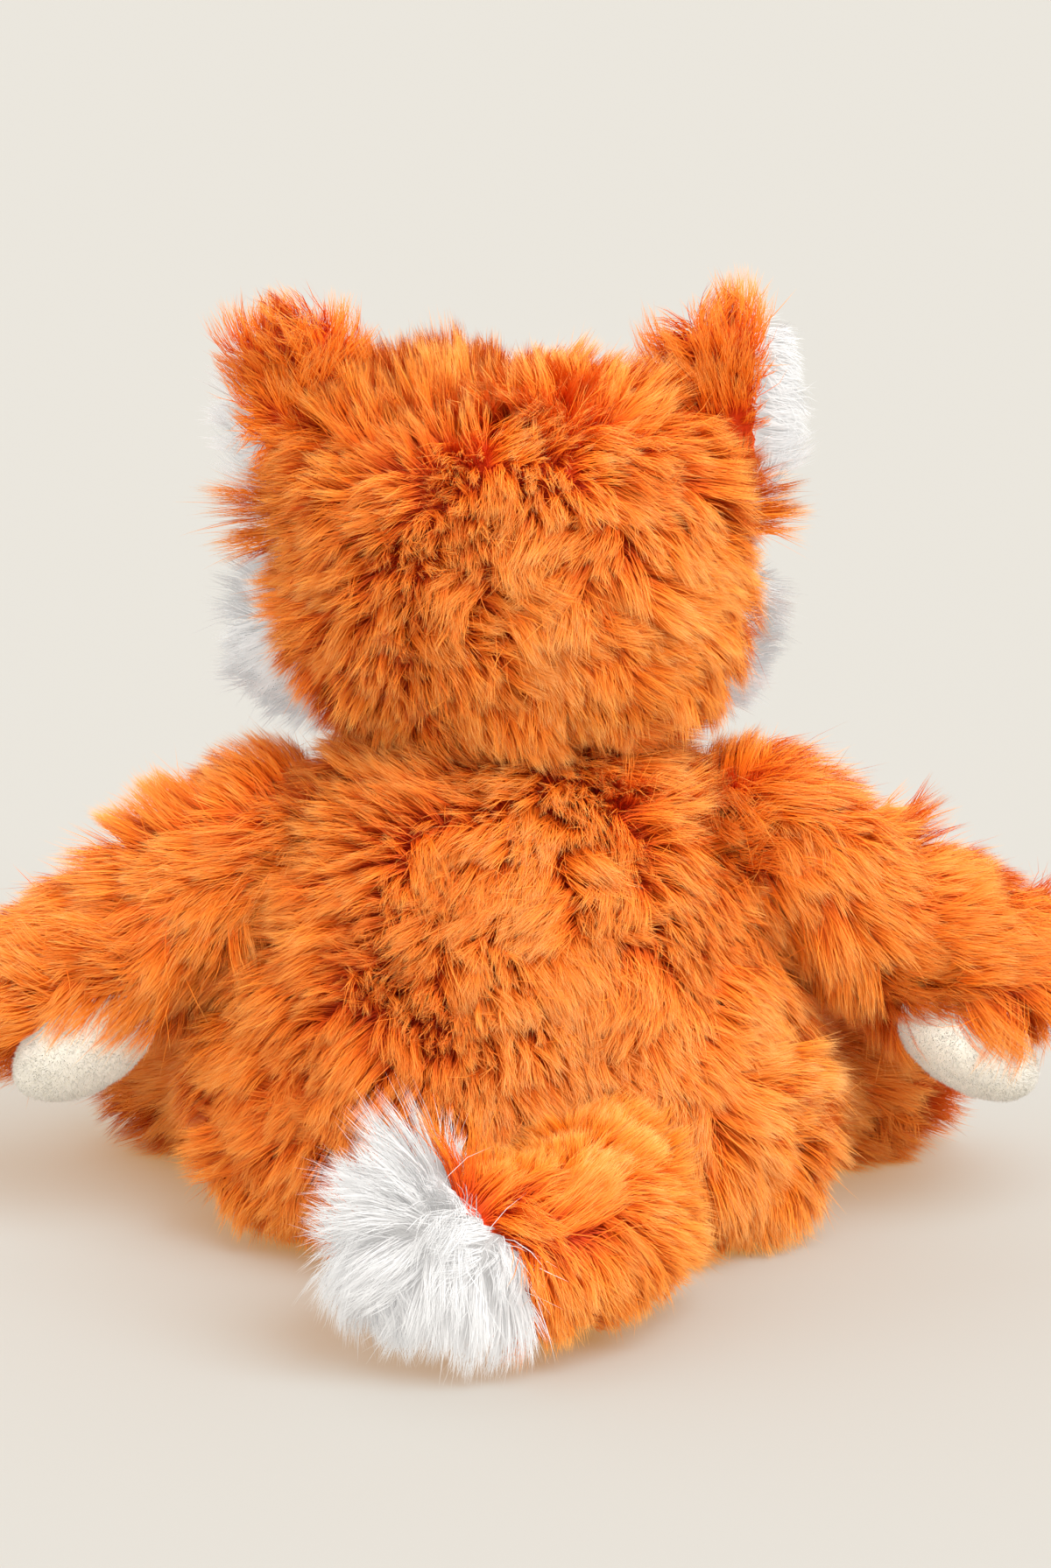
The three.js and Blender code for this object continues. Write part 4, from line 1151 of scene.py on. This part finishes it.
def dress_leg(name, side):
    body, node, outward = f"leg_{name}", f"sole_pad_{name}", leg_outward(name)
    centre = pivot_of(f"hip_{name}") + outward * (LEG["length"] - SOLE_SINK)
    sole_axes = (Z_AXIS, np.cross(outward, Z_AXIS), outward)
    sole = dome_form(centre, SOLE_RADII, sole_axes, depth=PAD_PILE_DEPTH)
    pile, rest = Pile(leg_comb_of(name)), {"skip": [torso], "pads": [sole]}
    cover(f"{body}_fur", legs[name], pile, 70 + side, body, "orange_fur", f"leg_fur_{name}", **rest)
    cover(f"sole_{name}_nap", sole, nap(Z_AXIS), 80 + side, body, "cream_pile", node, skip=[legs[name]])


def dress_tail():
    pile = Pile(tail_comb, tuft=7)
    cover("tail_base_fur", tail, pile, 90, "tail", "orange_fur", "tail_fur", tail_base, [torso])
    pile = Pile(tail_comb, tuft=7, gather=0.4, unruly=0.36, softness=0.85)
    cover("tail_tip_fur_pile", tail, pile, 91, "tail", "white_fur", "tail_tip_fur", tail_tip, [torso])


arms, legs, ears, cheeks = {}, {}, {}, {}
for name, side in SIDES.items():
    full_arm = {**ARM, "root_radius": ARM["root_radius"] + ARM_ROOT_FULLNESS}
    arms[name] = limb_form(straight(*arm_line(name)), lumps=0.0012, depth=ARM_PILE_DEPTH, **full_arm)
    legs[name] = limb_form(straight(pivot_of(f"hip_{name}"), leg_outward(name)), lumps=0.001, **LEG)
    ears[name] = ear_form(side)
    low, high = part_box(f"cheek_{name}")
    outer = max(low.x * side, high.x * side) - CHEEK_RADII[0] - CHEEK_TUCK[name]
    centre = (side * outer, low.y + CHEEK_RADII[1], low.z + CHEEK_RADII[2] + CHEEK_LIFT)
    cheeks[name] = dome_form(centre, CHEEK_RADII, lumps=0.001, depth=CHEEK_PILE_DEPTH, floor=False)
tail = limb_form(tail_path, lumps=0.001, depth=TAIL_PILE_DEPTH, **TAIL)

dress_torso([head, *arms.values(), *legs.values(), tail])
dress_head([torso, snout, *ears.values(), *cheeks.values()])
for name, side in SIDES.items():
    dress_cheek(name, side)
    dress_ear(name, side)
    dress_arm(name, side)
    dress_leg(name, side)
dress_tail()


# Fillings

FILLING_GAP = 0.004  # from the fabric's backing down to the filling
BAG_GAP = 0.003  # from the bag up to the filling that lies on it
BAG_CLOTH_DEPTH = 0.0008
FILLING_LUMPS, FILLING_WAVELENGTH = 0.0008, 0.012
BAG_SHARES = [
    (-1, 0, 0), (-0.9, 0.6, 0.6), (-0.45, 0.88, 0.88), (0, 1, 1),
    (0.45, 0.88, 0.88), (0.9, 0.6, 0.6), (1, 0, 0),
]


def smooth_piece(name, form, verts, material, body, slot_name, node):
    """A piece without pile, from a form whose vertices are moved to these."""
    piece = mesh_from(name, [(verts, NO_QUADS, form.tris, None, form.normals)], material)
    declare(piece, body, node)
    return piece


def core(name, form, inset, *rest):
    """The filling inside a form, this far under its skin."""
    lumps = FILLING_LUMPS * swirl(form.verts, FILLING_WAVELENGTH, SEED + 3, 1)
    verts = form.verts - form.normals * (inset - lumps)
    smooth_piece(name, form, verts, *rest)


def wadding(node, form, body):
    core(f"{node}_wadding", form, form.pile_depth + FILLING_GAP, FILLING, body, "fibre_fill", node)


wadding("head_stuffing", head, "head")
wadding("tail_stuffing", tail, "tail")
for name in SIDES:
    wadding(f"arm_stuffing_{name}", arms[name], f"arm_{name}")
    wadding(f"leg_stuffing_{name}", legs[name], f"leg_{name}")

bag_low, bag_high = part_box("pellet_bag")
lowest = (bag_high.z + BAG_GAP + PILE_DEPTH + FILLING_GAP) / TORSO_HEIGHT
upper_shares = [(lowest, 0, 0), (lowest, 0.74, 0.74), (lowest + 0.04, 0.88, 0.88)]
upper_shares += [row for row in TORSO_SHARES if row[0] > lowest + 0.09]
wadding("torso_stuffing", ring_form(upper_shares, *torso_size), "torso")

bag_half = (bag_high - bag_low) / 2
bag_middle = np.array((bag_low + bag_high) / 2)
bag_size = (bag_half.x, bag_half.y), (0, bag_half.z)
bag = ring_form(BAG_SHARES, *bag_size, AXES, bag_middle, 2.6, lumps=0.0005, wavelength=0.012)
core("pellet_bag_cloth", bag, BAG_CLOTH_DEPTH, BAG_CLOTH, "torso", "bag_cloth", "pellet_bag")


# Eyes, nose and washers

EYE_RADIUS, EYE_HEIGHT = 0.006, 0.005
EYE_FACING = (0.36, -1, 0.06)
NOSE_RADIUS, NOSE_HEIGHT = 0.008, 0.007
BUTTON_BACK_SHARES = [(-0.35, 0), (-0.35, 0.55), (-0.2, 0.9), (0.02, 1)]  # height and width


def button(name, radius, height, centre, along, node):
    """A glossy domed button whose axis runs along."""
    curve = curve_through(round_profile(radius, height), 26)
    rings = rings_of([(d, r, r) for d, r in curve[1:-1]], centre, *square_to(along), along, 48, 2)
    form = Form(rings, centre + along * curve[0, 0], centre + along * curve[-1, 0], depth=0, floor=False)
    smooth_piece(name, form, form.verts, GLOSS, "head", "black_gloss", node)


def round_profile(radius, height):
    """A domed button with a rounded rim, from the middle of its back to the top of its dome."""
    back = [(share * height, width * radius) for share, width in BUTTON_BACK_SHARES]
    turns = np.linspace(0.15, math.pi / 2, 8)
    return back + [(height * math.sin(a), radius * math.cos(a)) for a in turns[:-1]] + [(height, 0)]


for name, side in SIDES.items():
    low, high = (np.array(corner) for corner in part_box(f"eye_{name}"))
    middle = np.array(((low[0] + high[0]) / 2, low[1], (low[2] + high[2]) / 2))
    facing = unit(np.array(EYE_FACING) * (side, 1, 1))
    seat = middle - facing * EYE_HEIGHT * 0.9
    button(f"eye_{name}_dome", EYE_RADIUS, EYE_HEIGHT, seat, facing, f"eye_{name}")
low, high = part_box("nose")
nose_seat = np.array((0, low.y + NOSE_HEIGHT, (low.z + high.z) / 2))
button("nose_dome", NOSE_RADIUS, NOSE_HEIGHT, nose_seat, -Y_AXIS, "nose")
for node in ("eye_washer_left", "eye_washer_right", "nose_washer"):
    for slot in bpy.data.objects[node].material_slots:
        slot.link = "OBJECT"
        slot.material = WASHER


# Stage

FLOOR_REACH = 6.0
WALL_COLOUR = (0.82, 0.79, 0.74)
FLOOR_COLOUR = (0.238, 0.341, 0.39)
FLOOR_GLOW = (1, 0.46, 0.12)  # painted light: the floor glows warm, so the shadows round the toy are lighter and warmer, as if lit by light bounced off the orange fur; the bluish base colour keeps the lit floor pale and even

bpy.ops.mesh.primitive_plane_add(size=2 * FLOOR_REACH)
floor = bpy.context.object
floor.name = "floor"
floor_material, _, _, floor_shader = material_with_nodes("floor")
set_inputs(floor_shader, {"Base Color": (*FLOOR_COLOUR, 1), "Roughness": 1, "Specular IOR Level": 0})
set_inputs(floor_shader, {"Emission Color": (*FLOOR_GLOW, 1), "Emission Strength": 0.39})
floor.data.materials.append(floor_material)

world = bpy.data.worlds.new("studio")
bpy.context.scene.world = world
world.use_nodes = True
world.node_tree.nodes["Background"].inputs[0].default_value = (*WALL_COLOUR, 1)

SUNS = {
    "key": ((-0.6, 0.75, 1.0), 3.0, 50, (1, 1, 1)),
    "fill": ((0.8, 1.0, 0.22), 1.4, 100, (1, 0.95, 0.9)),
    "front": ((0.3, -1, 0.6), 1.3, 90, (1, 0.97, 0.93)),
}  # the direction that each comes from, its strength, its angle and its colour
for name, (direction, strength, width, colour) in SUNS.items():
    sun = bpy.data.lights.new(name, "SUN")
    sun.energy = strength
    sun.color = colour
    sun.angle = math.radians(width)
    lamp = bpy.data.objects.new(name, sun)
    lamp.rotation_euler = Vector(direction).to_track_quat("Z", "Y").to_euler()
    bpy.context.scene.collection.objects.link(lamp)

# Camera
CAMERA_ELEVATION = math.radians(13)
CAMERA_DISTANCE = 1.4
CAMERA_LENS = 124.5
CAMERA_AIM = Vector((-0.0034, 0, 0.117))

camera_data = bpy.data.cameras.new("camera")
camera_data.lens = CAMERA_LENS
camera = bpy.data.objects.new("camera", camera_data)
back = Vector((0, math.cos(CAMERA_ELEVATION), math.sin(CAMERA_ELEVATION)))
camera.location = CAMERA_AIM + back * CAMERA_DISTANCE
camera.rotation_euler = back.to_track_quat("Z", "Y").to_euler()
bpy.context.scene.collection.objects.link(camera)
bpy.context.scene.camera = camera
bpy.context.scene.view_settings.view_transform = "Standard"
